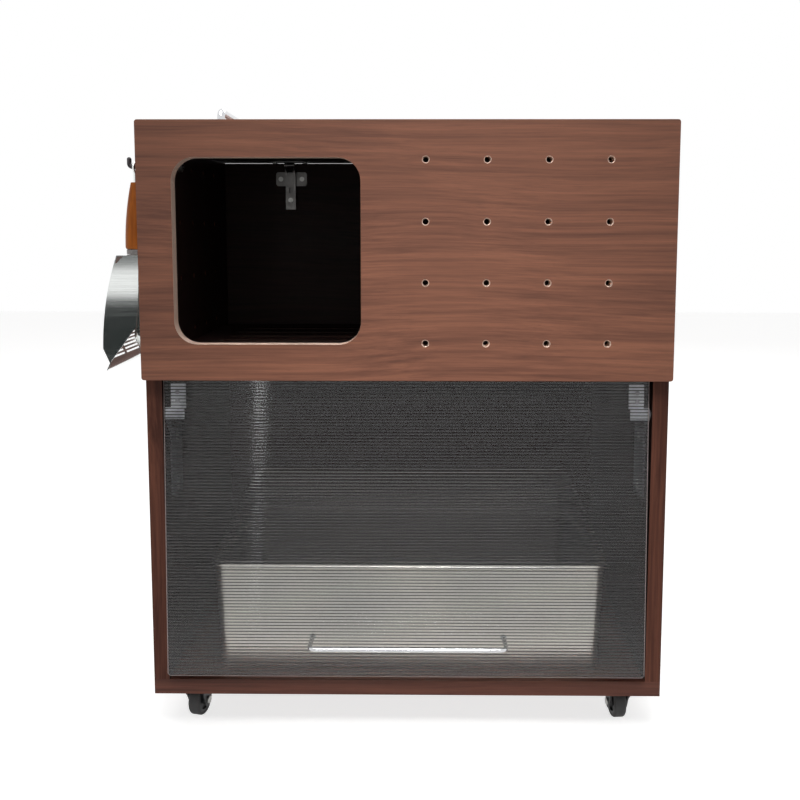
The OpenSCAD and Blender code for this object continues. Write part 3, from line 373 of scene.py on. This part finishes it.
# The lid's two concealed hinges: nickel-plated steel, pressed and folded. A winged plate is screwed to the back
# panel, the arm clips over it, and a bent link joins the arm to a cup let into the lid.

# The hinges' nickel is painted dim grey, far darker than plated steel: painted shade for the dark inside of the
# cabinet.
nickel_painted_shade = zinc("nickel_plate_painted_shade", srgb(128, 126, 124), 0.36)
for node, body in (("hinge_plates", "cabinet"), ("hinge_arms", "cabinet"), ("hinge_links", "lid_links"),
                   ("hinge_cups", "lid")):
    pressing = eased(node, node + "_pressed", 0.00025, 40)
    coat(pressing, nickel_painted_shade)
    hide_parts(node)
    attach(pressing, body)


# The lid: the cabinet's top board, with a chrome bow on its left that lifts it. The bow is one bent bar, screwed
# from below.

lid_walnut = laminate("walnut_lid", board_dark, board_light, shift=(0.5, 0.2, 0.9))
lid = eased("lid", "lid_board", 0.0006, 60, 3, cut=1)
coat(lid, lid_walnut, edge_painted_highlight, inner_walnut_painted_shade)
# the lid's underside, inside the cabinet, gets the painted-shade inner laminate
for face in lid.data.polygons:
    if face.normal.z < -0.9:
        face.material_index = 2
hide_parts("lid")
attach(lid, "lid")


def bent_bar(name, foot, out, along, rise, length, radius, bend):
    """A round bar bent into a bow: out of its foot, round a bend, along, round a bend and back in."""
    out, along = Vector(out), Vector(along)
    side = out.cross(along)
    spread()
    bpy.ops.mesh.primitive_circle_add(vertices=28, radius=radius, fill_type="NGON")
    bar = bpy.context.object
    bar.matrix_world = Matrix.Translation(foot) @ out.to_track_quat("Z", "Y").to_matrix().to_4x4()
    take(bar)
    bpy.ops.object.transform_apply(location=True, rotation=True, scale=True)
    bpy.ops.object.mode_set(mode="EDIT")
    bpy.ops.mesh.select_all(action="SELECT")

    def go(step):
        bpy.ops.mesh.extrude_region_move(TRANSFORM_OT_translate={"value": step})

    straight = rise - bend - radius
    go(out * straight)
    turn_at = Vector(foot) + out * straight + along * bend
    bpy.ops.mesh.spin(steps=10, angle=math.radians(-90), center=turn_at, axis=side, dupli=False)
    go(along * (length - 2 * bend))
    turn_at = Vector(foot) + out * straight + along * (length - bend)
    bpy.ops.mesh.spin(steps=10, angle=math.radians(-90), center=turn_at, axis=side, dupli=False)
    go(out * -straight)
    bpy.ops.mesh.select_all(action="SELECT")
    bpy.ops.mesh.remove_doubles(threshold=0.00001)
    bpy.ops.mesh.normals_make_consistent(inside=False)
    bpy.ops.object.mode_set(mode="OBJECT")
    smooth(bar, 40)
    return settle(bar, name)


def bright_chrome(name, rough):
    made, lay, shader, spot = material(name)
    haze = use(lay, mottle, Vector=spot, Scale=90.0)["Fac"]
    lay.plug(shader, "Base Color", lay.blend(haze, srgb(222, 222, 224), srgb(206, 207, 210)))
    shader.inputs["Metallic"].default_value = 1.0
    lay.plug(shader, "Roughness", lay.ramp(haze, 0.0, 1.0, rough, rough + 0.06))
    return made


chrome = bright_chrome("chrome_bar", 0.07)
bow = bent_bar("lid_handle_bow", place(-219, 75, 720), (0, 0, 1), (0, 1, 0), 0.0215, 0.128, 0.0045, 0.008)
coat(bow, chrome)
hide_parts("lid_handle")
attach(bow, "lid")


# The flap: a clear sheet extruded with fine ribs across its front, hung from two pivot hinges near its upper
# corners. The grooves between the ribs are opaque dark grey, painted shade for the dark lines seen along the ribs,
# and the sawn edges are milky. Each hinge has a pale painted L-shaped leaf screwed to the sheet's back and a plate
# on the cabinet's side. The flap stands a little ajar.

def ajar(piece):
    """Turns a piece that was made shut about the flap's pivots."""
    take(piece)
    bpy.ops.object.mode_set(mode="EDIT")
    bpy.ops.mesh.select_all(action="SELECT")
    bpy.ops.transform.rotate(value=math.radians(2.5), orient_axis="X", center_override=place(0, 29.6, 387))
    bpy.ops.object.mode_set(mode="OBJECT")


sheet_low, sheet_high = place(-281, 18.6, 77), place(278.5, 23.6, 434)
rib_pitch, rib_steps, crown, groove = 0.00365, 10, 0.00012, 0.0004
rib_count = int((sheet_high.z - sheet_low.z) / rib_pitch + 2)
spread()
bpy.ops.mesh.primitive_grid_add(x_subdivisions=1, y_subdivisions=rib_steps, size=1.0)
ribs = bpy.context.object
ribs.scale = (sheet_high.x - sheet_low.x + 0.01, rib_pitch, 1)
ribs.rotation_euler = (math.radians(90), 0, 0)
ribs.location = ((sheet_low.x + sheet_high.x) / 2, sheet_low.y, sheet_low.z + rib_pitch / 2 - 0.001)
take(ribs)
bpy.ops.object.transform_apply(location=True, rotation=True, scale=True)
for vertex in ribs.data.vertices:
    step = round((vertex.co.z - sheet_low.z + 0.001) / rib_pitch * rib_steps)
    if step in (0, 3, 10):
        depth = crown
    elif step in (1, 2):
        depth = crown + groove
    else:
        depth = crown * ((step - 6.5) / 3.5) ** 2
    vertex.co.y = sheet_low.y + depth
row = ribs.modifiers.new("rows", "ARRAY")
row.count = rib_count
row.use_relative_offset = False
row.use_constant_offset = True
row.constant_offset_displace = (0, 0, rib_pitch)
row.use_merge_vertices = True
row.merge_threshold = 0.00002
finish_modifiers(ribs)
bpy.ops.object.mode_set(mode="EDIT")
bpy.ops.mesh.select_all(action="SELECT")
bpy.ops.mesh.extrude_region_move(TRANSFORM_OT_translate={"value": (0, 0.02, 0)})
bpy.ops.transform.resize(value=(1, 0, 1), center_override=(0, sheet_low.y + 0.02, 0))
bpy.ops.mesh.select_all(action="SELECT")
bpy.ops.mesh.normals_make_consistent(inside=False)
bpy.ops.object.mode_set(mode="OBJECT")

spread()
bpy.ops.mesh.primitive_cube_add(size=1.0, location=(sheet_low + sheet_high) / 2)
blank = bpy.context.object
blank.dimensions = sheet_high - sheet_low
take(blank)
bpy.ops.object.transform_apply(location=True, rotation=True, scale=True)
bpy.ops.object.mode_set(mode="EDIT")
bpy.ops.mesh.select_mode(type="EDGE")
bpy.ops.mesh.select_all(action="DESELECT")
bpy.ops.object.mode_set(mode="OBJECT")
for edge in blank.data.edges:
    a, b = (blank.data.vertices[i].co for i in edge.vertices)
    edge.select = abs(a.y - b.y) > 0.001
bpy.ops.object.mode_set(mode="EDIT")
bpy.ops.mesh.bevel(offset=0.004, segments=6, affect="EDGES")
bpy.ops.mesh.select_all(action="DESELECT")
bpy.ops.object.mode_set(mode="OBJECT")
for edge in blank.data.edges:
    a, b = (blank.data.vertices[i].co for i in edge.vertices)
    edge.select = max(a.y, b.y) < sheet_low.y + 0.0001
bpy.ops.object.mode_set(mode="EDIT")
bpy.ops.mesh.bevel(offset=0.0013, segments=1, affect="EDGES")
bpy.ops.object.mode_set(mode="OBJECT")
trim = ribs.modifiers.new("trim", "BOOLEAN")
trim.operation = "INTERSECT"
trim.solver = "EXACT"
trim.object = blank
finish_modifiers(ribs)
bpy.data.objects.remove(blank)

clear_sheet, lay, shader, spot = material("ribbed_sheet")
lay.plug(shader, "Base Color", lay.blend(use(lay, mottle, Vector=spot, Scale=7.0)["Fac"],
                                         srgb(232, 236, 238), srgb(246, 248, 248)))
shader.inputs["Roughness"].default_value = 0.05
shader.inputs["IOR"].default_value = 1.5
shader.inputs["Transmission Weight"].default_value = 1.0

# The grooves are painted opaque dark grey: painted shade standing in for the dark lines seen along the clear ribs.
groove_painted_dark, lay, shader, spot = material("groove_painted_dark")
lay.plug(shader, "Base Color", lay.blend(lay.noise(lay.stretch(spot, (9, 300, 60)), 1.0, 3.0),
                                         srgb(54, 50, 50), srgb(76, 72, 73)))
shader.inputs["Roughness"].default_value = 0.3

sawn_edge, lay, shader, spot = material("sawn_sheet_edge")
lay.plug(shader, "Base Color", lay.blend(lay.noise(spot, 500.0, 3.0), srgb(150, 136, 134), srgb(186, 172, 170)))
shader.inputs["Roughness"].default_value = 0.5

coat(ribs, clear_sheet, groove_painted_dark, sawn_edge)
for face in ribs.data.polygons:
    deep = face.center.y - sheet_low.y
    inset = min(face.center.x - sheet_low.x, sheet_high.x - face.center.x, face.center.z - sheet_low.z)
    if face.normal.y > -0.2 and face.normal.y < 0.5 and deep > 0.0008:
        face.material_index = 2
    elif inset < 0.0014 and face.normal.y < -0.5:
        face.material_index = 2
    elif deep > crown * 1.01 and face.normal.y < 0:
        face.material_index = 1
    else:
        face.material_index = 0
smooth(ribs, 12)
settle(ribs, "flap_sheet_ribbed")
ajar(ribs)
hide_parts("flap_sheet")
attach(ribs, "flap")



def enamel(name, dark, light):
    made, lay, shader, spot = material(name)
    lay.plug(shader, "Base Color", lay.blend(use(lay, mottle, Vector=spot, Scale=140.0)["Fac"], dark, light))
    shader.inputs["Roughness"].default_value = 0.4
    return made


pale_enamel = enamel("pale_enamel", srgb(226, 223, 228), srgb(242, 240, 244))
# The wall plates, and the ends of the leaves that reach past the sheet, are painted dim grey instead of the leaves'
# pale enamel: painted shade for the dark gap beside the flap.
plate_enamel_painted_shade = enamel("plate_enamel_painted_shade", srgb(92, 90, 94), srgb(116, 114, 118))
screw_enamel = enamel("screw_enamel", srgb(140, 138, 142), srgb(160, 158, 162))
for node, body, finish, slot in (("flap_leaf_left", "flap", pale_enamel, "leaf_enamel"),
                                 ("flap_leaf_right", "flap", pale_enamel, "leaf_enamel"),
                                 ("flap_wall_plates", "cabinet", plate_enamel_painted_shade, "leaf_enamel"),
                                 ("flap_leaf_screws", "flap", screw_enamel, "zinc_steel")):
    pressing = eased(node, node + "_pressed", 0.0003, 40)
    coat(pressing, finish, plate_enamel_painted_shade)
    # faces past the sheet's ends get the painted-shade grey
    for face in pressing.data.polygons:
        if not sheet_low.x < face.center.x < sheet_high.x:
            face.material_index = 1
    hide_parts(node)
    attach(pressing, body)

# The flap's pull is a chromed wire, bent at both ends and held by a screw through the sheet at each foot.

pull = bent_bar("flap_handle_wire", place(-110.25, 18.6, 124), (0, -1, 0), (1, 0, 0), 0.038, 0.224, 0.0025, 0.008)
ajar(pull)
coat(pull, chrome)
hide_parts("flap_handle")
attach(pull, "flap")
dress("flap_handle_screws", screw_zinc)


# The litter pan: thin stainless sheet, drawn with sloped walls and rounded corners, its rim rolled round a wire.
# The outside is satin from rolling, with fine lines along its length.

def rounded_plan(low, high, radius, level):
    """A flat plate with rounded corners at one height, as an edit-mode start."""
    spread()
    bpy.ops.mesh.primitive_plane_add(size=1.0, location=((low.x + high.x) / 2, (low.y + high.y) / 2, level))
    plate = bpy.context.object
    plate.scale = (high.x - low.x, high.y - low.y, 1)
    take(plate)
    bpy.ops.object.transform_apply(location=True, rotation=True, scale=True)
    bpy.ops.object.mode_set(mode="EDIT")
    bpy.ops.mesh.select_all(action="SELECT")
    bpy.ops.mesh.bevel(offset=radius, segments=8, affect="VERTICES")
    bpy.ops.object.mode_set(mode="OBJECT")
    return plate


pan_floor_low, pan_floor_high = place(-226.5, 50.1, 68.3), place(231.5, 379.1, 68.3)
foot_radius = 0.0115
pan = rounded_plan(pan_floor_low, pan_floor_high, foot_radius, place(0, 0, 68.3).z)
pan_rise, pan_flare = 0.1315, 0.007
pan_mid = (pan_floor_low + pan_floor_high) / 2
bpy.ops.object.mode_set(mode="EDIT")
bpy.ops.mesh.select_all(action="SELECT")
bpy.ops.mesh.extrude_region_move(TRANSFORM_OT_translate={"value": (0, 0, pan_rise)})
bpy.ops.object.mode_set(mode="OBJECT")
for vertex in pan.data.vertices:
    if vertex.co.z > pan_mid.z + 0.05:
        half = Vector((pan_floor_high.x - pan_mid.x - foot_radius, pan_floor_high.y - pan_mid.y - foot_radius, 0))
        off = Vector((vertex.co.x - pan_mid.x, vertex.co.y - pan_mid.y, 0))
        core = Vector((max(-half.x, min(half.x, off.x)), max(-half.y, min(half.y, off.y)), 0))
        vertex.co += (off - core).normalized() * pan_flare
bpy.ops.object.mode_set(mode="EDIT")
bpy.ops.mesh.select_all(action="DESELECT")
bpy.ops.object.mode_set(mode="OBJECT")
for face in pan.data.polygons:
    face.select = face.normal.z > 0.9 and face.center.z > pan_mid.z + 0.05
bpy.ops.object.mode_set(mode="EDIT")
bpy.ops.mesh.select_mode(type="FACE")
bpy.ops.mesh.duplicate()
bpy.ops.mesh.separate(type="SELECTED")
bpy.ops.object.mode_set(mode="OBJECT")
lip = [o for o in bpy.context.selected_objects if o is not pan][0]
for face in pan.data.polygons:
    face.select = face.normal.z > 0.9 and face.center.z > pan_mid.z + 0.05
take(pan)
bpy.ops.object.mode_set(mode="EDIT")
bpy.ops.mesh.delete(type="FACE")
bpy.ops.mesh.select_all(action="SELECT")
bpy.ops.mesh.normals_make_consistent(inside=False)
bpy.ops.mesh.select_all(action="DESELECT")
bpy.ops.object.mode_set(mode="OBJECT")
for edge in pan.data.edges:
    a, b = (pan.data.vertices[i].co for i in edge.vertices)
    edge.select = max(a.z, b.z) < pan_mid.z + 0.001
bpy.ops.object.mode_set(mode="EDIT")
bpy.ops.mesh.select_mode(type="EDGE")
bpy.ops.mesh.bevel(offset=0.007, segments=5, affect="EDGES")
bpy.ops.object.mode_set(mode="OBJECT")
wall = pan.modifiers.new("wall", "SOLIDIFY")
wall.thickness = 0.0012
wall.offset = -1
finish_modifiers(pan)

take(lip)
bpy.ops.object.mode_set(mode="EDIT")
bpy.ops.mesh.select_all(action="SELECT")
bpy.ops.mesh.delete(type="ONLY_FACE")
bpy.ops.object.mode_set(mode="OBJECT")
bpy.ops.object.convert(target="CURVE")
lip.data.bevel_depth = 0.0034
lip.data.bevel_resolution = 6
lip.data.fill_mode = "FULL"
take(lip)
bpy.ops.object.convert(target="MESH")
spread()
lip.select_set(True)
pan.select_set(True)
bpy.context.view_layer.objects.active = pan
bpy.ops.object.join()
smooth(pan, 40)
settle(pan, "litter_pan_drawn")

# rolled and drawn stainless: long fine lines that break up the shine
sheet_steel, lay, given, made = group(
    "rolled_lines", [("Vector", "NodeSocketVector"), ("Dark", "NodeSocketColor"), ("Light", "NodeSocketColor")],
    [("Color", "NodeSocketColor"), ("Roughness", "NodeSocketFloat"), ("Height", "NodeSocketFloat")])
lines = lay.noise(lay.stretch(given["Vector"], (6, 6, 1400)), 1.0, 3.0, 0.6)
cloud = lay.noise(given["Vector"], 11.0, 4.0, 0.6)
tone = lay.math("ADD", lay.math("MULTIPLY", lines, 0.5), lay.math("MULTIPLY", cloud, 0.5))
lay.plug(made, "Color", lay.blend(tone, given["Dark"], given["Light"]))
lay.plug(made, "Roughness", lay.ramp(lines, 0.2, 0.8, -0.05, 0.07))
lay.plug(made, "Height", lines)


def stainless(name, dark, light, rough, depth=0.08):
    made, lay, shader, spot = material(name)
    rolled = use(lay, sheet_steel, Vector=spot, Dark=dark, Light=light)
    lay.plug(shader, "Base Color", rolled["Color"])
    shader.inputs["Metallic"].default_value = 1.0
    lay.plug(shader, "Roughness", lay.math("ADD", rolled["Roughness"], rough))
    bump = lay.add("ShaderNodeBump", None, Strength=depth, Distance=0.0001, Height=rolled["Height"])
    lay.plug(shader, "Normal", bump.outputs[0])
    return made


pan_steel = stainless("pan_steel", srgb(222, 214, 204), srgb(244, 237, 228), 0.32)
# The pan's inside takes a darker, rougher copy of the same steel: painted shade for the dark inside of the cabinet.
pan_inside_painted_shade = stainless("pan_inside_painted_shade", srgb(104, 99, 94), srgb(132, 126, 120), 0.42)
coat(pan, pan_steel, pan_inside_painted_shade)
for face in pan.data.polygons:
    middle = face.center - pan_mid
    if face.normal.dot(Vector((middle.x, middle.y, 0))) < -0.01 and middle.z < pan_rise - 0.002:
        face.material_index = 1
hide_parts("litter_pan")
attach(pan, "pan")


# The casters: a plate and king pin on the bottom board, a stamped black fork that swivels on it, and a plastic
# wheel with a rubber tyre on a riveted axle.

black_paint, lay, shader, spot = material("black_paint")
orange_peel = lay.noise(spot, 700.0, 2.0)
lay.plug(shader, "Base Color", lay.blend(use(lay, mottle, Vector=spot, Scale=120.0)["Fac"],
                                         srgb(24, 24, 26), srgb(44, 44, 47)))
shader.inputs["Roughness"].default_value = 0.38
bump = lay.add("ShaderNodeBump", None, Strength=0.15, Distance=0.0002, Height=orange_peel)
lay.plug(shader, "Normal", bump.outputs[0])

core_plastic, lay, shader, spot = material("wheel_core")
lay.plug(shader, "Base Color", lay.blend(use(lay, mottle, Vector=spot, Scale=200.0)["Fac"],
                                         srgb(40, 40, 42), srgb(58, 58, 61)))
shader.inputs["Roughness"].default_value = 0.42

tyre_rubber, lay, shader, spot = material("tyre_rubber")
dust = lay.noise(spot, 260.0, 4.0, 0.65)
lay.plug(shader, "Base Color", lay.blend(dust, srgb(52, 52, 55), srgb(86, 85, 84)))
lay.plug(shader, "Roughness", lay.ramp(dust, 0.3, 0.7, 0.5, 0.75))
bump = lay.add("ShaderNodeBump", None, Strength=0.25, Distance=0.0003, Height=dust)
lay.plug(shader, "Normal", bump.outputs[0])

plates = eased("caster_plates", "caster_plates_stamped", 0.0004, 50)
coat(plates, black_paint)
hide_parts("caster_plates")
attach(plates, "cabinet")
for corner in ("front_left", "front_right", "rear_left", "rear_right"):
    for part, body, finish, slot, ease in (("fork", "caster_", black_paint, "caster_steel", 0.0005),
                                           ("axle", "caster_", screw_zinc, "axle_steel", 0.0004),
                                           ("wheel", "wheel_", core_plastic, "wheel_core", 0.0003),
                                           ("tyre", "wheel_", tyre_rubber, "wheel_tyre", 0.0003)):
        node = "caster_%s_%s" % (part, corner)
        piece = eased(node, node + "_made", ease, 40)
        coat(piece, finish)
        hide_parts(node)
        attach(piece, body + corner)


# The scoop hangs by its eye from a dark steel hook in the left side's first vent hole. Its blade is folded
# stainless with rows of slots, and a turned, varnished handle sits on a rod through a steel ferrule.

hook_finish, lay, shader, spot = material("hook_black")
lay.plug(shader, "Base Color", lay.blend(use(lay, mottle, Vector=spot, Scale=150.0)["Fac"],
                                         srgb(44, 42, 44), srgb(84, 80, 82)))
shader.inputs["Metallic"].default_value = 0.9
shader.inputs["Roughness"].default_value = 0.35
hook = eased("scoop_hook", "scoop_hook_bent", 0.0003, 60)
coat(hook, hook_finish)
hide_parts("scoop_hook")
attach(hook, "cabinet")

scoop_polish = stainless("scoop_polish", srgb(232, 235, 233), srgb(248, 250, 248), 0.06, 0.02)
rod = eased("scoop_rod", "scoop_rod_formed", 0.0003, 60)
coat(rod, scoop_polish)
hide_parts("scoop_rod")
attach(rod, "scoop")

blade = eased("scoop_blade", "scoop_blade_folded", 0.0003, 50)
coat(blade, scoop_polish)
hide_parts("scoop_blade")
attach(blade, "scoop")

dark_ferrule = zinc("ferrule_steel", srgb(120, 116, 114), 0.3)
ferrule = eased("scoop_ferrule", "scoop_ferrule_turned", 0.0008, 60, 3)
coat(ferrule, dark_ferrule)
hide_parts("scoop_ferrule")
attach(ferrule, "scoop")

varnish, lay, shader, spot = material("varnished_handle")
streak = lay.noise(lay.stretch(spot, (260, 260, 9)), 1.0, 4.0, 0.6, 0.6)
ring = lay.noise(lay.stretch(spot, (60, 60, 4)), 1.0, 3.0, 0.5, 1.0)
shade = lay.math("ADD", lay.math("MULTIPLY", streak, 0.6), lay.math("MULTIPLY", ring, 0.5))
lay.plug(shader, "Base Color", lay.blend(lay.ramp(shade, 0.4, 0.75), srgb(138, 70, 18), srgb(184, 102, 34)))
shader.inputs["Roughness"].default_value = 0.42
shader.inputs["Specular IOR Level"].default_value = 0.2
grip = eased("scoop_handle", "scoop_handle_turned", 0.0006, 60, 3)
coat(grip, varnish)
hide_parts("scoop_handle")
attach(grip, "scoop")


# The studio: a pale floor that the camera sees as white, a white surround, a dark card, a grey card and a bright
# strip behind the camera for the shiny pieces to reflect, and soft lamps. The camera stands where the
# photograph was taken.

spread()
bpy.ops.mesh.primitive_plane_add(size=12.0, location=(0, 0, 0))
floor = bpy.context.object
floor.name = "studio_floor"
paper, lay, shader, spot = material("floor_paper")
ray = lay.add("ShaderNodeLightPath").outputs
lay.plug(shader, "Base Color", lay.blend(lay.noise(spot, 40.0), srgb(196, 195, 194), srgb(200, 199, 198)))
shader.inputs["Roughness"].default_value = 0.9
shader.inputs["Emission Color"].default_value = (1, 1, 1, 1)
glow_seen, glow_mirrored = 0.75, 0.55
seen = lay.math("MULTIPLY", ray["Is Camera Ray"], glow_seen)
mirrored = lay.math("MULTIPLY", ray["Is Glossy Ray"], glow_mirrored)
lay.plug(shader, "Emission Strength", lay.math("ADD", seen, mirrored))
coat(floor, paper)


def card(name, low, high, y, colour, glow=0.0):
    """An upright card behind the camera, seen only in reflections."""
    spread()
    bpy.ops.mesh.primitive_plane_add(size=1.0, rotation=(math.radians(90), 0, 0),
                                     location=((low[0] + high[0]) / 2, y, (low[1] + high[1]) / 2))
    sheet = bpy.context.object
    sheet.name = name
    sheet.scale = (high[0] - low[0], high[1] - low[1], 1)
    made, lay, shader, spot = material(name)
    darker = tuple(c * 0.8 for c in colour[:3]) + (1,)
    lay.plug(shader, "Base Color", lay.blend(lay.noise(spot, 3.0), colour, darker))
    shader.inputs["Roughness"].default_value = 0.9
    if glow:
        shader.inputs["Emission Color"].default_value = (1, 1, 1, 1)
        shader.inputs["Emission Strength"].default_value = glow
    coat(sheet, made)


card("dark_card", (-2.4, 0.0), (2.2, 0.33), -3.0, srgb(30, 38, 37))
card("grey_card", (-1.45, 0.45), (-0.9, 1.3), -3.0, srgb(150, 154, 154))
card("bright_strip", (-0.612, 0.02), (-0.572, 1.1), -2.9, (1, 1, 1, 1), 4.0)

world = bpy.data.worlds.new("white_room")
bpy.context.scene.world = world
world.use_nodes = True
lay = Nodes(world.node_tree)
sky = world.node_tree.nodes["Background"]
ray = lay.add("ShaderNodeLightPath").outputs
mirrored = lay.math("MAXIMUM", ray["Is Glossy Ray"], ray["Is Transmission Ray"])
seen = lay.math("MAXIMUM", ray["Is Camera Ray"], mirrored)
sky.inputs["Color"].default_value = (1, 1, 1, 1)
sky_on_object, sky_seen = 0.24, 1.0
lay.plug(sky, "Strength", lay.ramp(seen, 0.0, 1.0, sky_on_object, sky_seen))


def lamp(name, spot, aim, size, watts):
    light = bpy.data.lights.new(name, "AREA")
    light.energy = watts
    light.size = size
    holder = bpy.data.objects.new(name, light)
    bpy.context.scene.collection.objects.link(holder)
    holder.location = spot
    holder.rotation_euler = (Vector(aim) - Vector(spot)).to_track_quat("-Z", "Y").to_euler()
    return holder


front = lamp("front", (0.07, -1.15, 1.5), (0.07, -0.2, 0.30), 0.5, 0.8)
front.data.spread = math.radians(32)
lamp("room", (-0.5, -0.8, 3.2), (0, 0, 0), 2.6, 42)
lamp("back", (0.6, 2.4, 2.4), (0, 0, 0.4), 1.8, 30)

camera = bpy.data.objects.new("photo_camera", bpy.data.cameras.new("photo_camera"))
bpy.context.scene.collection.objects.link(camera)
camera.location = place(15.4, -1083.1, 596.7)
camera.rotation_euler = (math.radians(83.76), math.radians(-0.05), math.radians(0.607))
camera.data.sensor_width = 36
camera.data.lens = 43.68
camera.data.shift_x = -0.0127
camera.data.shift_y = -0.0769
bpy.context.scene.camera = camera
bpy.context.scene.view_settings.view_transform = "Standard"
